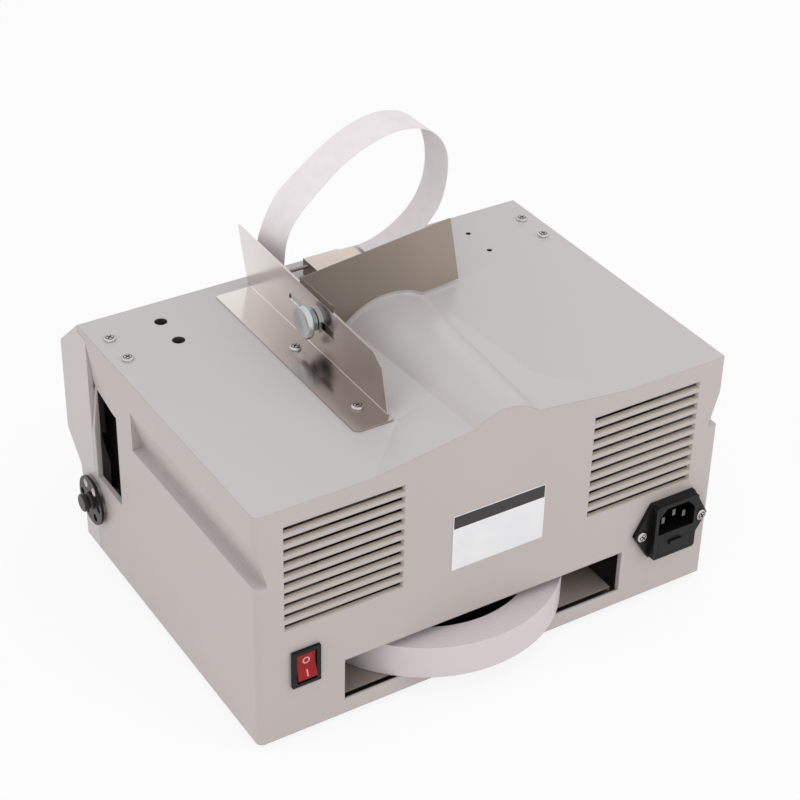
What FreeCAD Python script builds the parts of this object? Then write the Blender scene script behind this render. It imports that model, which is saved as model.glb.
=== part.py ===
import FreeCAD, Part
import math
import os
import re
import Sketcher

# Banknote strapping machine: a moulded housing on a sheet-steel base, a flat
# roll of paper tape that sticks out at the back, a feeding and sealing
# mechanism at the front and, on the deck, a guide bracket with a sliding stop.
#
# Axes: X across the machine, +Y to its rear face, +Z up. The origin lies on
# the table, half way across and half way between the nose and the rear face.
# Names that end in _d are distances forward from the rear face, names that
# end in _h are heights above the bottom edge of the housing.

# ---------------------------------------------------------------- sizes, mm

SIZES = {
    # housing
    "body_width": 280.0,
    "body_depth": 222.0,
    "deck_h": 143.0,
    "deck_thickness": 4.0,
    "deck_front_d": 196.9,
    "shell_front_d": 187.0,
    "wall": 3.0,
    "sharp_corner_radius": 1.0,
    "corner_radius": 3.5,
    "edge_radius": 2.0,
    "joint_gap": 0.2,
    "overcut": 1.0,
    # hump and swell of the deck
    "hump_front_d": 152.0,
    "ramp_front_d": 125.0,
    "front_arc_left": 16.0,
    "front_arc_right": 35.0,
    "front_arc_rise": 7.4,
    "front_left_rise": 0.0,
    "front_right_rise": 0.0,
    "rear_arc_left": 17.0,
    "rear_arc_right": 20.5,
    "rear_arc_rise": 7.2,
    "swell_half_width": 75.0,
    "rear_left_rise": 8.0,
    "rear_right_rise": 6.6,
    "swell_middle_d": 37.0,
    "swell_middle_left": 38.5,
    "swell_middle_right": 44.0,
    "swell_front_margin": 3.0,
    # hand grips in the side walls
    "grip_bottom_h": 100.0,
    "grip_top_h": 123.5,
    "grip_back_h": 101.6,
    "grip_front_d": 134.0,
    "grip_depth": 6.1,
    # threading window in the left wall and the scoop above it
    "window_front_d": 183.0,
    "window_rear_d": 153.0,
    "window_bottom_h": 52.0,
    "window_top_h": 109.3,
    "scoop_depth": 3.4,
    "scoop_top_h": 137.0,
    "scoop_bottom_h": 80.0,
    "scoop_faint_depth": 0.1,
    # louvres
    "louvre_count": 10,
    "louvre_inset": 15.5,
    "louvre_width": 67.6,
    "louvre_height": 4.0,
    "louvre_pitch": 6.62,
    "louvre_drop": 14.7,
    # tape opening
    "opening_left": 90.3,
    "opening_right": 83.0,
    "opening_bottom_h": 9.3,
    "opening_top_h": 35.4,
    "sill_lip": 1.2,
    "sill_rebate": 2.0,
    # front bezel
    "nose_top_h": 120.5,
    "nose_bottom_h": 63.0,
    "toe_top_h": 47.0,
    "toe_front_d": 204.5,
    # base and feet
    "foot_height": 4.0,
    "foot_radius": 7.0,
    "foot_taper": 1.0,
    "foot_inset": 22.0,
    "base_thickness": 1.5,
    "base_flange_h": 6.0,
    "base_flange_inset": 20.0,
    "boss_radius": 4.0,
    "boss_top_h": 18.0,
    "boss_rear_d": 9.0,
    "boss_front_d": 176.0,
    # deck holes and deck screws
    "adjuster_hole_inset": 40.0,
    "adjuster_hole_front_d": 177.9,
    "adjuster_hole_rear_d": 156.8,
    "adjuster_hole_radius": 3.5,
    "sight_hole_inset": 45.2,
    "sight_hole_front_d": 176.5,
    "sight_hole_rear_d": 154.6,
    "sight_hole_radius": 1.5,
    "deck_screw_inset": 9.0,
    "deck_screw_front_d": 175.0,
    "deck_screw_rear_d": 153.3,
    "screw_radius": 1.5,
    "screw_head_radius": 3.2,
    "screw_head_height": 1.8,
    "screw_crown_share": 0.7,
    "screw_gap": 0.2,
    # rating plate, bare
    "label_width": 56.0,
    "label_height": 34.0,
    "label_thickness": 0.4,
    "label_h": 84.8,
    # rocker switch
    "switch_inset": 26.8,
    "switch_h": 42.6,
    "switch_width": 16.0,
    "switch_height": 22.5,
    "switch_proud": 2.0,
    "switch_body_width": 13.6,
    "switch_body_height": 20.4,
    "switch_body_depth": 15.0,
    "rocker_width": 10.6,
    "rocker_radius": 9.0,
    "rocker_face": 5.2,
    "rocker_waist": 4.0,
    "rocker_pivot_d": 3.0,
    "rocker_axle_radius": 0.8,
    "rocker_axle_inset": 0.25,
    "rocker_tilt": 9.0,
    "rocker_gap": 0.3,
    # mains inlet with fuse drawer
    "inlet_inset": 26.2,
    "inlet_h": 43.7,
    "inlet_screw_pitch": 40.0,
    "inlet_width": 49.3,
    "inlet_block_width": 28.6,
    "inlet_up": 18.7,
    "inlet_down": 16.6,
    "inlet_flange": 2.6,
    "inlet_proud": 4.0,
    "inlet_body_depth": 20.0,
    "inlet_body_width": 27.0,
    "inlet_body_up": 17.2,
    "inlet_body_down": 15.6,
    "socket_width": 24.0,
    "socket_height": 16.5,
    "socket_chamfer": 5.0,
    "socket_depth": 15.5,
    "socket_up": 8.0,
    "pin_pitch": 14.0,
    "pin_width": 2.0,
    "pin_height": 4.0,
    "pin_length": 12.5,
    "pin_drop": 1.5,
    "fuse_drawer_width": 22.0,
    "fuse_drawer_height": 8.4,
    "fuse_drawer_depth": 19.0,
    "fuse_drawer_down": 10.4,
    "fuse_radius": 2.5,
    "fuse_length": 20.0,
    "tab_width": 8.0,
    "tab_height": 2.5,
    "tab_proud": 1.2,
    # guide bracket and stop on the deck
    "sheet": 1.2,
    "bracket_x": 40.8,
    "bracket_front_d": 188.0,
    "bracket_rear_d": 41.0,
    "bracket_flange": 22.7,
    "bracket_front_inset": 3.0,
    "bracket_rear_inset": 5.0,
    "upright_height": 33.0,
    "upright_lean": 10.0,
    "upright_sag": 3.0,
    "upright_rear_cut": 15.0,
    "upright_rear_step": 6.8,
    "upright_rear_drop": 8.5,
    "flange_corner_radius": 3.5,
    "bend_radius": 3.0,
    "slot_front_d": 141.5,
    "slot_rear_d": 94.0,
    "slot_rise": 18.0,
    "slot_width": 4.4,
    "bracket_screw_x": 51.8,
    "bracket_screw_front_d": 117.6,
    "bracket_screw_rear_d": 54.2,
    "stop_screw_d": 114.0,
    "stop_width": 100.0,
    "stop_height": 32.0,
    "stop_flare": 1.3,
    "stop_rise": 2.3,
    "stop_lean": 17.0,
    "stop_turn": 6.5,
    "stop_bottom_d": 122.0,
    "stop_gap": 2.6,
    "stop_flange_rear_d": 99.0,
    "stop_arch_from": 22.5,
    "stop_arch_width": 53.0,
    "stop_arch_rise": 7.0,
    "slide_gap": 0.1,
    "thumb_radius": 9.0,
    "thumb_head": 3.4,
    "thumb_collar_radius": 6.0,
    "thumb_collar": 3.6,
    "thumb_shank_radius": 2.0,
    "thumb_washer_radius": 7.5,
    "thumb_washer": 1.2,
    "clamp_nut_across": 9.0,
    "clamp_nut_height": 4.0,
    # sealing head on the deck
    "head_left": 9.7,
    "head_right": 22.0,
    "head_step": 12.0,
    "head_step_drop": 1.3,
    "head_front_d": 184.0,
    "head_rear_d": 166.0,
    "head_height": 10.0,
    "head_channel": 2.0,
    "head_foot": 2.5,
    "tongue_reach": 8.0,
    "tongue_rise": 4.5,
    "tongue_thickness": 1.2,
    "guide_rod_d": 178.0,
    "guide_rod_rise": 8.0,
    "guide_rod_radius": 1.0,
    "guide_rod_length": 18.0,
    # tape
    "tape_width": 20.0,
    "band_thickness": 0.35,
    "band_front_d": 190.0,
    "roll_x": 8.0,
    "roll_d": 59.0,
    "roll_radius": 76.6,
    "roll_bore": 60.0,
    "roll_clearance": 0.3,
    "hub_height": 16.0,
    "hub_rim": 3.0,
    "hub_web": 3.0,
    "hub_boss_radius": 12.0,
    "spindle_radius": 6.0,
    "tray_thickness": 1.0,
    "tray_front_d": 142.0,
    "tray_inset": 2.0,
    # hand wheel on the main shaft
    "shaft_d": 188.5,
    "shaft_h": 34.0,
    "shaft_radius": 3.0,
    "shaft_hole_radius": 3.6,
    "wheel_radius": 14.5,
    "wheel_thickness": 1.6,
    "wheel_stand_off": 2.0,
    "wheel_hole_radius": 2.3,
    "wheel_hole_circle": 10.2,
    "wheel_hole_count": 6,
    "knob_radius": 5.2,
    "knob_waist_radius": 4.4,
    "knob_length": 5.5,
    "knob_foot": 1.0,
    "knob_flare": 0.8,
    "knob_grip": 2.4,
    "knob_chamfer": 0.5,
    "knob_bore_depth": 4.0,
    "running_gap": 0.05,
    # mechanism frame
    "plate_thickness": 2.0,
    "plate_inset": 13.0,
    "plate_rear_d": 150.0,
    "head_plate_x": 36.0,
    "tie_radius": 3.0,
    "bush_radius": 5.0,
    "bush_flange_radius": 7.0,
    "bush_flange": 1.5,
    # drive
    "gear_module": 1.0,
    "tooth_addendum": 0.85,
    "tooth_dedendum": 1.2,
    "tooth_foot_share": 0.72,
    "tooth_crest_share": 0.26,
    "gear_teeth": 22,
    "pinion_teeth": 11,
    "gear_width": 5.0,
    "gear_gap": 0.5,
    "motor_radius": 17.0,
    "motor_length": 52.0,
    "motor_shaft_radius": 2.0,
    "cam_radius": 8.0,
    "cam_lift": 3.0,
    "cam_width": 6.0,
    "cam_x": -12.0,
    # press, heater and cutter
    "press_d": 174.0,
    "press_width": 20.0,
    "press_thickness": 4.0,
    "press_drop": 11.0,
    "press_foot_width": 8.0,
    "press_foot_height": 4.0,
    "guide_height": 22.0,
    "cutter_clearance": 8.0,
    "guide_gap": 0.1,
    "heater_width": 16.0,
    "heater_depth": 9.0,
    "heater_height": 5.0,
    "cutter_thickness": 0.8,
    "cutter_width": 14.0,
    "cutter_height": 12.0,
    "spring_radius": 4.0,
    "spring_wire": 0.7,
    "spring_turns": 6,
    "seat_gap": 0.2,
    # tape feed
    "feed_x": 72.0,
    "feed_drop": 55.0,
    "feed_radius": 9.0,
    "feed_shaft_radius": 2.5,
    "feed_frame_left": 96.0,
    "feed_frame_right": 27.0,
    "feed_cheek_drop": 12.0,
    "feed_cheek_rear_d": 167.5,
    "feed_cheek_front_d": 192.5,
    "feed_motor_radius": 17.0,
    "feed_motor_length": 32.0,
    "pinch_radius": 7.0,
    "pinch_gap": 0.4,
    "pinch_axle_radius": 1.5,
    "lever_pivot_x": 90.0,
    "lever_pivot_rise": 30.0,
    "lever_thickness": 2.0,
    "lever_half_width": 4.0,
    "chute_radius": 28.0,
    "chute_thickness": 1.0,
    "chute_x": 60.0,
    # electronics
    "transformer_inset": 34.0,
    "transformer_d": 98.0,
    "transformer_width": 30.0,
    "transformer_depth": 50.0,
    "transformer_height": 42.0,
    "coil_overhang": 7.0,
    "board_thickness": 1.6,
    "board_bottom_h": 68.0,
    "board_top_gap": 11.0,
    "board_rear_d": 36.0,
    "board_length": 96.0,
    "standoff_radius": 2.5,
    "standoff_length": 9.0,
    # control panel on the nose
    "key_radius": 5.0,
    "key_pitch": 20.0,
    "key_first": 24.0,
    "key_proud": 0.4,
    "key_travel": 1.0,
    "key_collar": 1.2,
    "key_gap": 0.25,
    "display_x": -34.0,
    "display_width": 42.0,
    "display_height": 15.0,
    "display_lip": 1.5,
    "key_board_width": 150.0,
    "key_board_depth": 22.0,
}

# The corners that each edge of the free paper band passes through, as
# (across, above the deck): the loop leans a little, so its edges differ.
BAND_FRONT_EDGE = [
    (35.5, -6), (35.3, 9), (34.4, 26), (29.6, 39), (23.5, 49.5), (8.3, 62.5), (-8, 74), (-25, 81.8),
    (-39.2, 84.4), (-53, 82), (-66, 72.5), (-72, 57), (-72.2, 42), (-65.5, 24.5), (-53.5, 13.2),
    (-39.7, 6.4), (-28.5, 4.2),
]
BAND_REAR_EDGE = [
    (30.5, -6), (30.2, 7), (29.2, 20), (27.8, 31), (24.0, 40.5), (9.2, 56.2), (-4, 67), (-18, 75),
    (-33, 80), (-51, 80.6), (-66.5, 73), (-74, 60), (-74.6, 45), (-70.5, 29), (-58, 14.5),
    (-43, 6.6), (-28.5, 4.2),
]

# Places that keep their distance from the nearest side of the housing.
PLACES = {
    "plate_x": "body_width / 2 - wall - plate_inset",
    "deck_screw_x": "body_width / 2 - deck_screw_inset",
    "adjuster_hole_x": "body_width / 2 - adjuster_hole_inset",
    "sight_hole_x": "body_width / 2 - sight_hole_inset",
    "louvre_inner": "body_width / 2 - louvre_inset - louvre_width",
    "switch_x": "body_width / 2 - switch_inset",
    "inlet_x": "inlet_inset - body_width / 2",
    "transformer_x": "body_width / 2 - transformer_inset",
}

# ------------------------------------------------------ document and helpers

doc = FreeCAD.newDocument("StrappingMachine")
sheet = doc.addObject("Spreadsheet::Sheet", "Sizes")
for row, (size_name, size) in enumerate({**SIZES, **PLACES}.items(), 1):
    sheet.set(f"A{row}", size_name)
    sheet.set(f"B{row}", f"={size}")
    sheet.setAlias(f"B{row}", size_name)
doc.recompute()

nodes = []

AXIS_ROTATIONS = {
    "X": FreeCAD.Rotation(FreeCAD.Vector(0, 1, 0), 90),
    "Y": FreeCAD.Rotation(FreeCAD.Vector(1, 0, 0), -90),
    "Z": FreeCAD.Rotation(),
}


def formula(text):
    """The text with each size or place name turned into its cell of the sheet."""
    names = SIZES.keys() | PLACES.keys()
    return re.sub(r"[a-z]\w+", lambda word: "Sizes." + word[0] if word[0] in names else word[0], str(text))


def value(text):
    """What a formula comes to with the sheet's present sizes, in mm or degrees."""
    return float(sheet.evalExpression(formula(text)))


def bind(item, **formulas):
    """Binds properties to formulas; a double underscore stands for a dot."""
    for name, text in formulas.items():
        item.setExpression(name.replace("__", "."), formula(text))


def back(distance):
    """The Y of a distance forward from the rear face."""
    return f"(body_depth / 2 - ({distance}))"


def up(height):
    """The Z of a height above the bottom edge of the housing."""
    return f"(foot_height + ({height}))"


def side_view(corners):
    """Corners as (distance from the rear face, height) turned into (Y, Z)."""
    return [(back(d), up(h)) for d, h in corners]


def rear_view(corners):
    """Corners as (X, height, optional arc radius) turned into (X, Z, ...)."""
    return [(corner[0], up(corner[1]), *corner[2:]) for corner in corners]


def plan_view(corners):
    """Corners as (X, distance, optional arc radius) turned into (X, Y, ...)."""
    return [(corner[0], back(corner[1]), *corner[2:]) for corner in corners]


def mirrored(corners, mirror):
    """The corners unchanged, or mirrored across X = 0, with their arcs turned over."""
    if not mirror:
        return corners
    flipped = []
    for corner in corners:
        arc = [f"-({radius})" for radius in corner[2:]]
        flipped.append((f"-({corner[0]})", corner[1], *arc))
    return flipped


def rectangle(left, right, low, high):
    """The four corners of an upright rectangle."""
    return [(left, low), (right, low), (right, high), (left, high)]


def circle(across, upwards, radius):
    """A circle for a sketch: one entry in place of a list of corners."""
    return (across, upwards, radius)


def as_node(item, label):
    """Names a finished piece and keeps it for export."""
    item.Label = label
    nodes.append(item)
    return item


def new_body(label):
    """An empty PartDesign body."""
    return doc.addObject("PartDesign::Body", label + "_body")


def sketch_on(body, plane, place):
    """A sketch on one of the body's own origin planes, moved along its axis."""
    origin_plane = next(f for f in body.Origin.OriginFeatures if f.Role == plane + "_Plane")
    sketch = body.newObject("Sketcher::SketchObject", "Sketch")
    sketch.AttachmentSupport = (origin_plane, [""])
    sketch.MapMode = "FlatFace"
    sign = "-" if plane == "XZ" else ""
    bind(sketch, AttachmentOffset__Base__z=f"{sign}({place})")
    return sketch


def place_point(sketch, geometry, point, across, upwards):
    """Holds a point of the sketch at its formulas."""
    for kind, text in (("DistanceX", across), ("DistanceY", upwards)):
        constraint = Sketcher.Constraint(kind, -1, 1, geometry, point, value(text))
        index = sketch.addConstraint(constraint)
        sketch.setExpression(f"Constraints[{index}]", formula(text))


def draw_circle(sketch, across, upwards, radius):
    """A circle held by its centre and radius."""
    centre = FreeCAD.Vector(value(across), value(upwards), 0)
    ring = sketch.addGeometry(Part.Circle(centre, FreeCAD.Vector(0, 0, 1), value(radius)), False)
    place_point(sketch, ring, 3, across, upwards)
    index = sketch.addConstraint(Sketcher.Constraint("Radius", ring, value(radius)))
    sketch.setExpression(f"Constraints[{index}]", formula(radius))


def arc_between(start, end, radius):
    """The short arc from start to end, turning left for a positive radius."""
    if radius < 0:
        return arc_between(end, start, -radius)
    chord = end - start
    half = chord.Length / 2
    rise = math.sqrt(max(radius ** 2 - half ** 2, 0))
    normal = FreeCAD.Vector(-chord.y, chord.x, 0) / chord.Length
    centre = (start + end) / 2 + normal * rise
    first = math.atan2(start.y - centre.y, start.x - centre.x)
    last = math.atan2(end.y - centre.y, end.x - centre.x)
    return Part.ArcOfCircle(Part.Circle(centre, FreeCAD.Vector(0, 0, 1), radius), first, last)


def hold_half_turn(sketch, edge, corner, chord):
    """Keeps the centre of a half circle on its own upright or level chord."""
    kind, text = ("DistanceX", corner[0]) if abs(chord.x) < abs(chord.y) else ("DistanceY", corner[1])
    index = sketch.addConstraint(Sketcher.Constraint(kind, -1, 1, edge, 3, value(text)))
    sketch.setExpression(f"Constraints[{index}]", formula(text))


def draw_outline(sketch, corners):
    """A closed outline; a corner's third entry makes the edge after it an arc."""
    spots = [FreeCAD.Vector(value(corner[0]), value(corner[1]), 0) for corner in corners]
    ends = []
    for number, corner in enumerate(corners):
        start = spots[number]
        end = spots[(number + 1) % len(spots)]
        if len(corner) == 2:
            edge = sketch.addGeometry(Part.LineSegment(start, end), False)
            ends.append((edge, 1, 2))
            continue
        radius = value(corner[2])
        edge = sketch.addGeometry(arc_between(start, end, radius), False)
        ends.append((edge, 1, 2) if radius > 0 else (edge, 2, 1))
        if abs((end - start).Length / 2 - abs(radius)) < 1e-6:
            hold_half_turn(sketch, edge, corner, end - start)
            continue
        index = sketch.addConstraint(Sketcher.Constraint("Radius", edge, abs(radius)))
        sketch.setExpression(f"Constraints[{index}]", f"abs({formula(corner[2])})")
    for number, (edge, start, end) in enumerate(ends):
        next_edge, next_start, _ = ends[(number + 1) % len(ends)]
        sketch.addConstraint(Sketcher.Constraint("Coincident", edge, end, next_edge, next_start))
        place_point(sketch, edge, start, corners[number][0], corners[number][1])


def draw(sketch, outlines):
    """Draws circles and closed outlines."""
    for outline in outlines:
        if isinstance(outline, tuple):
            draw_circle(sketch, *outline)
        else:
            draw_outline(sketch, outline)


def add(body, plane, start, end, *outlines):
    """Pads outlines from start to end along the plane's axis."""
    sketch = sketch_on(body, plane, start)
    draw(sketch, outlines)
    pad = body.newObject("PartDesign::Pad", "Pad")
    pad.Profile = sketch
    pad.Reversed = plane == "XZ"
    bind(pad, Length=f"({end}) - ({start})")
    return pad


def take(body, plane, start, end, *outlines):
    """Cuts outlines away from start to end along the plane's axis."""
    sketch = sketch_on(body, plane, start)
    draw(sketch, outlines)
    pocket = body.newObject("PartDesign::Pocket", "Pocket")
    pocket.Profile = sketch
    pocket.Reversed = plane != "XZ"
    bind(pocket, Length=f"({end}) - ({start})")
    return pocket


def revolve(body, plane, place, axis, outline):
    """A full turn of an outline about the sketch's own H_Axis or V_Axis."""
    sketch = sketch_on(body, plane, place)
    draw(sketch, [outline])
    turned = body.newObject("PartDesign::Revolution", "Revolution")
    turned.Profile = sketch
    turned.ReferenceAxis = (sketch, [axis])
    turned.Angle = 360
    return turned


def round_edges(body, radius, wanted):
    """Fillets the edges of the body so far that the test picks."""
    doc.recompute()
    tip = body.Tip
    names = [f"Edge{number}" for number, edge in enumerate(tip.Shape.Edges, 1) if wanted(edge)]
    fillet = body.newObject("PartDesign::Fillet", "Fillet")
    fillet.Base = (tip, names)
    bind(fillet, Radius=radius)
    return fillet


def runs_along(edge, direction):
    """Whether an edge is straight and parallel to X, Y or Z."""
    if edge.Curve.TypeId != "Part::GeomLine":
        return False
    tangent = edge.tangentAt(edge.FirstParameter)
    return abs(getattr(tangent, direction)) > 0.999


def passes(edge, **where):
    """Whether the middle of an edge lies at the given coordinates."""
    middle = edge.valueAt((edge.FirstParameter + edge.LastParameter) / 2)
    return all(abs(getattr(middle, name) - value(text)) < 0.05 for name, text in where.items())


def box(left, right, rear, front, low, high, label="Box"):
    """A block given by its sides: X, distances from the rear face, heights."""
    block = doc.addObject("Part::Box", label)
    bind(block, Length=f"({right}) - ({left})", Width=f"({front}) - ({rear})", Height=f"({high}) - ({low})")
    bind(block, Placement__Base__x=left, Placement__Base__y=back(front), Placement__Base__z=up(low))
    return block


def rod(axis, first, second, start, end, radius, label="Rod"):
    """A cylinder along an axis; first and second are its other two coordinates."""
    turned = doc.addObject("Part::Cylinder", label)
    turned.Placement.Rotation = AXIS_ROTATIONS[axis]
    spot = {"X": (start, first, second), "Y": (first, start, second), "Z": (first, second, start)}[axis]
    bind(turned, Radius=radius, Height=f"({end}) - ({start})")
    bind(turned, Placement__Base__x=spot[0], Placement__Base__y=spot[1], Placement__Base__z=spot[2])
    return turned


def fuse(*pieces):
    """Several overlapping shapes made one."""
    joined = doc.addObject("Part::MultiFuse", "Fuse")
    joined.Shapes = list(pieces)
    return joined


def cut(base, tool):
    """One shape less another."""
    rest = doc.addObject("Part::Cut", "Cut")
    rest.Base = base
    rest.Tool = tool
    return rest


def group(pieces):
    """Separate solids kept together in one node."""
    together = doc.addObject("Part::Compound", "Group")
    together.Links = pieces
    return together


def screw(axis, sign, first, second, seat, length, radius="screw_radius", head="screw_head_radius"):
    """A pan-head screw whose head sits on seat and looks along sign times axis."""
    point = f"({seat}) - ({sign}) * ({length})"
    crown = f"({seat}) + ({sign}) * screw_head_height"
    low, high = (point, seat) if sign > 0 else (seat, point)
    shank = rod(axis, first, second, low, high, radius)
    cap = doc.addObject("Part::Cone", "ScrewHead")
    turn = FreeCAD.Rotation() if sign > 0 else FreeCAD.Rotation(FreeCAD.Vector(1, 0, 0), 180)
    if axis == "Y" and sign < 0:
        turn = FreeCAD.Rotation(FreeCAD.Vector(1, 0, 0), 180)
    cap.Placement.Rotation = AXIS_ROTATIONS[axis] * turn
    spot = {"X": (seat, first, second), "Y": (first, seat, second), "Z": (first, second, seat)}[axis]
    bind(cap, Radius1=head, Radius2=f"{head} * screw_crown_share", Height=f"abs(({crown}) - ({seat}))")
    bind(cap, Placement__Base__x=spot[0], Placement__Base__y=spot[1], Placement__Base__z=spot[2])
    return fuse(shank, cap)


# ------------------------------------------------------------------ housing

INNER_SIDE = "(body_width / 2 - wall)"
CEILING_H = "(deck_h - deck_thickness)"

PANEL_ANGLE = "atan((deck_h - nose_top_h) / (body_depth - deck_front_d))"


def station_value(name, station):
    """A size of the hump's section at the rear, front or in-between station."""
    if station != "middle":
        return f"{station}_{name}"
    share = "((ramp_front_d - swell_middle_d) / ramp_front_d)"
    return f"(front_{name} + (rear_{name} - front_{name}) * {share})"


def swell_section(body, station, distance, drop):
    """The deck's swell at one station: a low roof with the round hump in its middle."""
    arc_left = station_value("arc_left", station)
    arc_right = station_value("arc_right", station)
    arc_rise = station_value("arc_rise", station)
    left_rise = station_value("left_rise", station)
    right_rise = station_value("right_rise", station)
    ends = {
        "rear": ("swell_half_width", "swell_half_width"),
        "middle": ("swell_middle_left", "swell_middle_right"),
        "front": ("(front_arc_left + swell_front_margin)", "(front_arc_right + swell_front_margin)"),
    }
    left_end, right_end = ends[station]
    level = f"(deck_h - ({drop}))"
    base = f"({level} - overcut)"
    span = f"({arc_left} + {arc_right})"
    tilt = f"({left_rise} - {right_rise})"
    radius = f"(({span} * {span} + {tilt} * {tilt}) / 4 + {arc_rise} * {arc_rise}) / (2 * {arc_rise})"
    sketch = sketch_on(body, "XZ", back(distance))
    draw(sketch, [rear_view([
        (f"-{right_end}", base),
        (left_end, base),
        (left_end, level),
        (arc_left, f"{level} + {left_rise}", radius),
        (f"-{arc_right}", f"{level} + {right_rise}"),
        (f"-{right_end}", level),
    ])])
    return sketch


def loft_between(body, kind, first, last):
    """A straight-sided loft between two sketches with matching corners."""
    loft = body.newObject("PartDesign::" + kind, "Loft")
    loft.Profile = first
    loft.Sections = [(last, [""])]
    loft.Ruled = True
    return loft


def make_top_shell():
    """Deck, rear wall and side walls in one moulding."""
    shell = new_body("top_shell")
    add(shell, "YZ", "-body_width / 2", "body_width / 2", side_view([
        ("0", "0"),
        ("0", "deck_h"),
        ("deck_front_d", "deck_h"),
        ("deck_front_d", CEILING_H),
        ("shell_front_d", CEILING_H),
        ("shell_front_d", "0"),
    ]))
    for radius, side in (("corner_radius", "body_width / 2"), ("sharp_corner_radius", "-body_width / 2")):
        round_edges(shell, radius, lambda edge: runs_along(edge, "z") and passes(edge, x=side, y=back(0)))
    raise_swell(shell)
    take(shell, "YZ", f"-{INNER_SIDE}", INNER_SIDE, side_view([
        ("wall", "-overcut"),
        ("wall", CEILING_H),
        ("shell_front_d + overcut", CEILING_H),
        ("shell_front_d + overcut", "-overcut"),
    ]))
    hollow_swell(shell)
    add_grip_walls(shell)
    cut_grips(shell)
    cut_window(shell)
    cut_rear_wall(shell)
    cut_deck(shell)
    as_node(shell, "top_shell")


def raise_swell(shell):
    """The hump and the swell round it, fading out towards the front."""
    stations = (("front", "ramp_front_d"), ("middle", "swell_middle_d"), ("rear", "0"))
    for first, last in zip(stations, stations[1:]):
        near = swell_section(shell, *first, "0")
        far = swell_section(shell, *last, "0")
        loft_between(shell, "AdditiveLoft", near, far)
    crown = shell.newObject("PartDesign::Pad", "Crown")
    crown.Profile = swell_section(shell, "front", "ramp_front_d", "0")
    bind(crown, Length="hump_front_d - ramp_front_d")


def hollow_swell(shell):
    """The same forms one deck thickness lower, cut out from below."""
    stations = (("front", "ramp_front_d"), ("middle", "swell_middle_d"), ("rear", "wall"))
    for first, last in zip(stations, stations[1:]):
        near = swell_section(shell, *first, "deck_thickness")
        far = swell_section(shell, *last, "deck_thickness")
        loft_between(shell, "SubtractiveLoft", near, far)
    hollow = shell.newObject("PartDesign::Pocket", "CrownHollow")
    hollow.Profile = swell_section(shell, "front", "ramp_front_d", "deck_thickness")
    hollow.Reversed = True
    bind(hollow, Length="hump_front_d - ramp_front_d - wall")


def add_grip_walls(shell):
    """The walls behind the hand grips, the cheek by the window and the screw bosses."""
    grips = [
        mirrored(rear_view(rectangle(
            "body_width / 2 - grip_depth - wall", "body_width / 2 - wall / 2",
            "grip_bottom_h - wall", "grip_top_h + wall",
        )), mirror)
        for mirror in (False, True)
    ]
    add(shell, "XZ", back("grip_front_d + wall"), back("wall / 2"), *grips)
    add(shell, "YZ", f"{INNER_SIDE} - scoop_depth", f"{INNER_SIDE} + wall / 2", side_view([
        ("window_rear_d - wall", "window_top_h"),
        ("window_rear_d - wall", f"{CEILING_H} + deck_thickness / 2"),
        ("shell_front_d", f"{CEILING_H} + deck_thickness / 2"),
        ("shell_front_d", "scoop_bottom_h"),
        ("window_front_d", "scoop_bottom_h"),
        ("window_front_d", "window_top_h"),
    ]))
    bosses = []
    for distance in ("boss_rear_d", "boss_front_d"):
        for sign in ("", "-"):
            bosses.append(circle(f"{sign}({INNER_SIDE} - boss_radius + wall / 2)", back(distance), "boss_radius"))
    add(shell, "XY", up("base_thickness"), up("boss_top_h"), *bosses)
    holes = [circle(*boss[:2], "screw_radius + screw_gap") for boss in bosses]
    take(shell, "XY", up("base_thickness"), up("boss_top_h - wall"), *holes)


def cut_grips(shell):
    """A finger groove with a sloping roof along each side wall, open at the rear face."""
    grooves = [
        mirrored(rear_view([
            ("body_width / 2 + overcut", "grip_bottom_h"),
            ("body_width / 2 + overcut", "grip_top_h"),
            ("body_width / 2", "grip_top_h"),
            ("body_width / 2 - grip_depth", "grip_back_h"),
            ("body_width / 2 - grip_depth", "grip_bottom_h"),
        ]), mirror)
        for mirror in (False, True)
    ]
    take(shell, "XZ", back("grip_front_d"), back("-overcut"), *grooves)


def cut_window(shell):
    """The threading window, the scoop that fades out above and beside it and the shaft hole."""
    take(shell, "YZ", f"{INNER_SIDE} - scoop_depth - overcut", "body_width / 2 + overcut", side_view([
        ("window_rear_d", "window_bottom_h"),
        ("window_rear_d", "window_top_h"),
        ("window_front_d", "window_top_h"),
        ("window_front_d", "window_bottom_h"),
    ]))
    for fading in ("scoop_top_h", "scoop_bottom_h"):
        deep = sketch_on(shell, "XY", up("window_top_h"))
        draw(deep, [plan_view([
            ("body_width / 2 - scoop_depth", "shell_front_d + overcut"),
            ("body_width / 2 + overcut / 2", "shell_front_d + overcut"),
            ("body_width / 2 + overcut / 2", "window_rear_d - overcut"),
        ])])
        faint = sketch_on(shell, "XY", up(fading))
        draw(faint, [plan_view([
            ("body_width / 2 - scoop_faint_depth", "shell_front_d + overcut"),
            ("body_width / 2 + overcut / 2", "shell_front_d + overcut"),
            ("body_width / 2 + overcut / 2", "shell_front_d - edge_radius"),
        ])])
        loft_between(shell, "SubtractiveLoft", deep, faint)
    take(shell, "YZ", INNER_SIDE + " - overcut", "body_width / 2 + overcut",
         circle(back("shaft_d"), up("shaft_h"), "shaft_hole_radius"))


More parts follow.
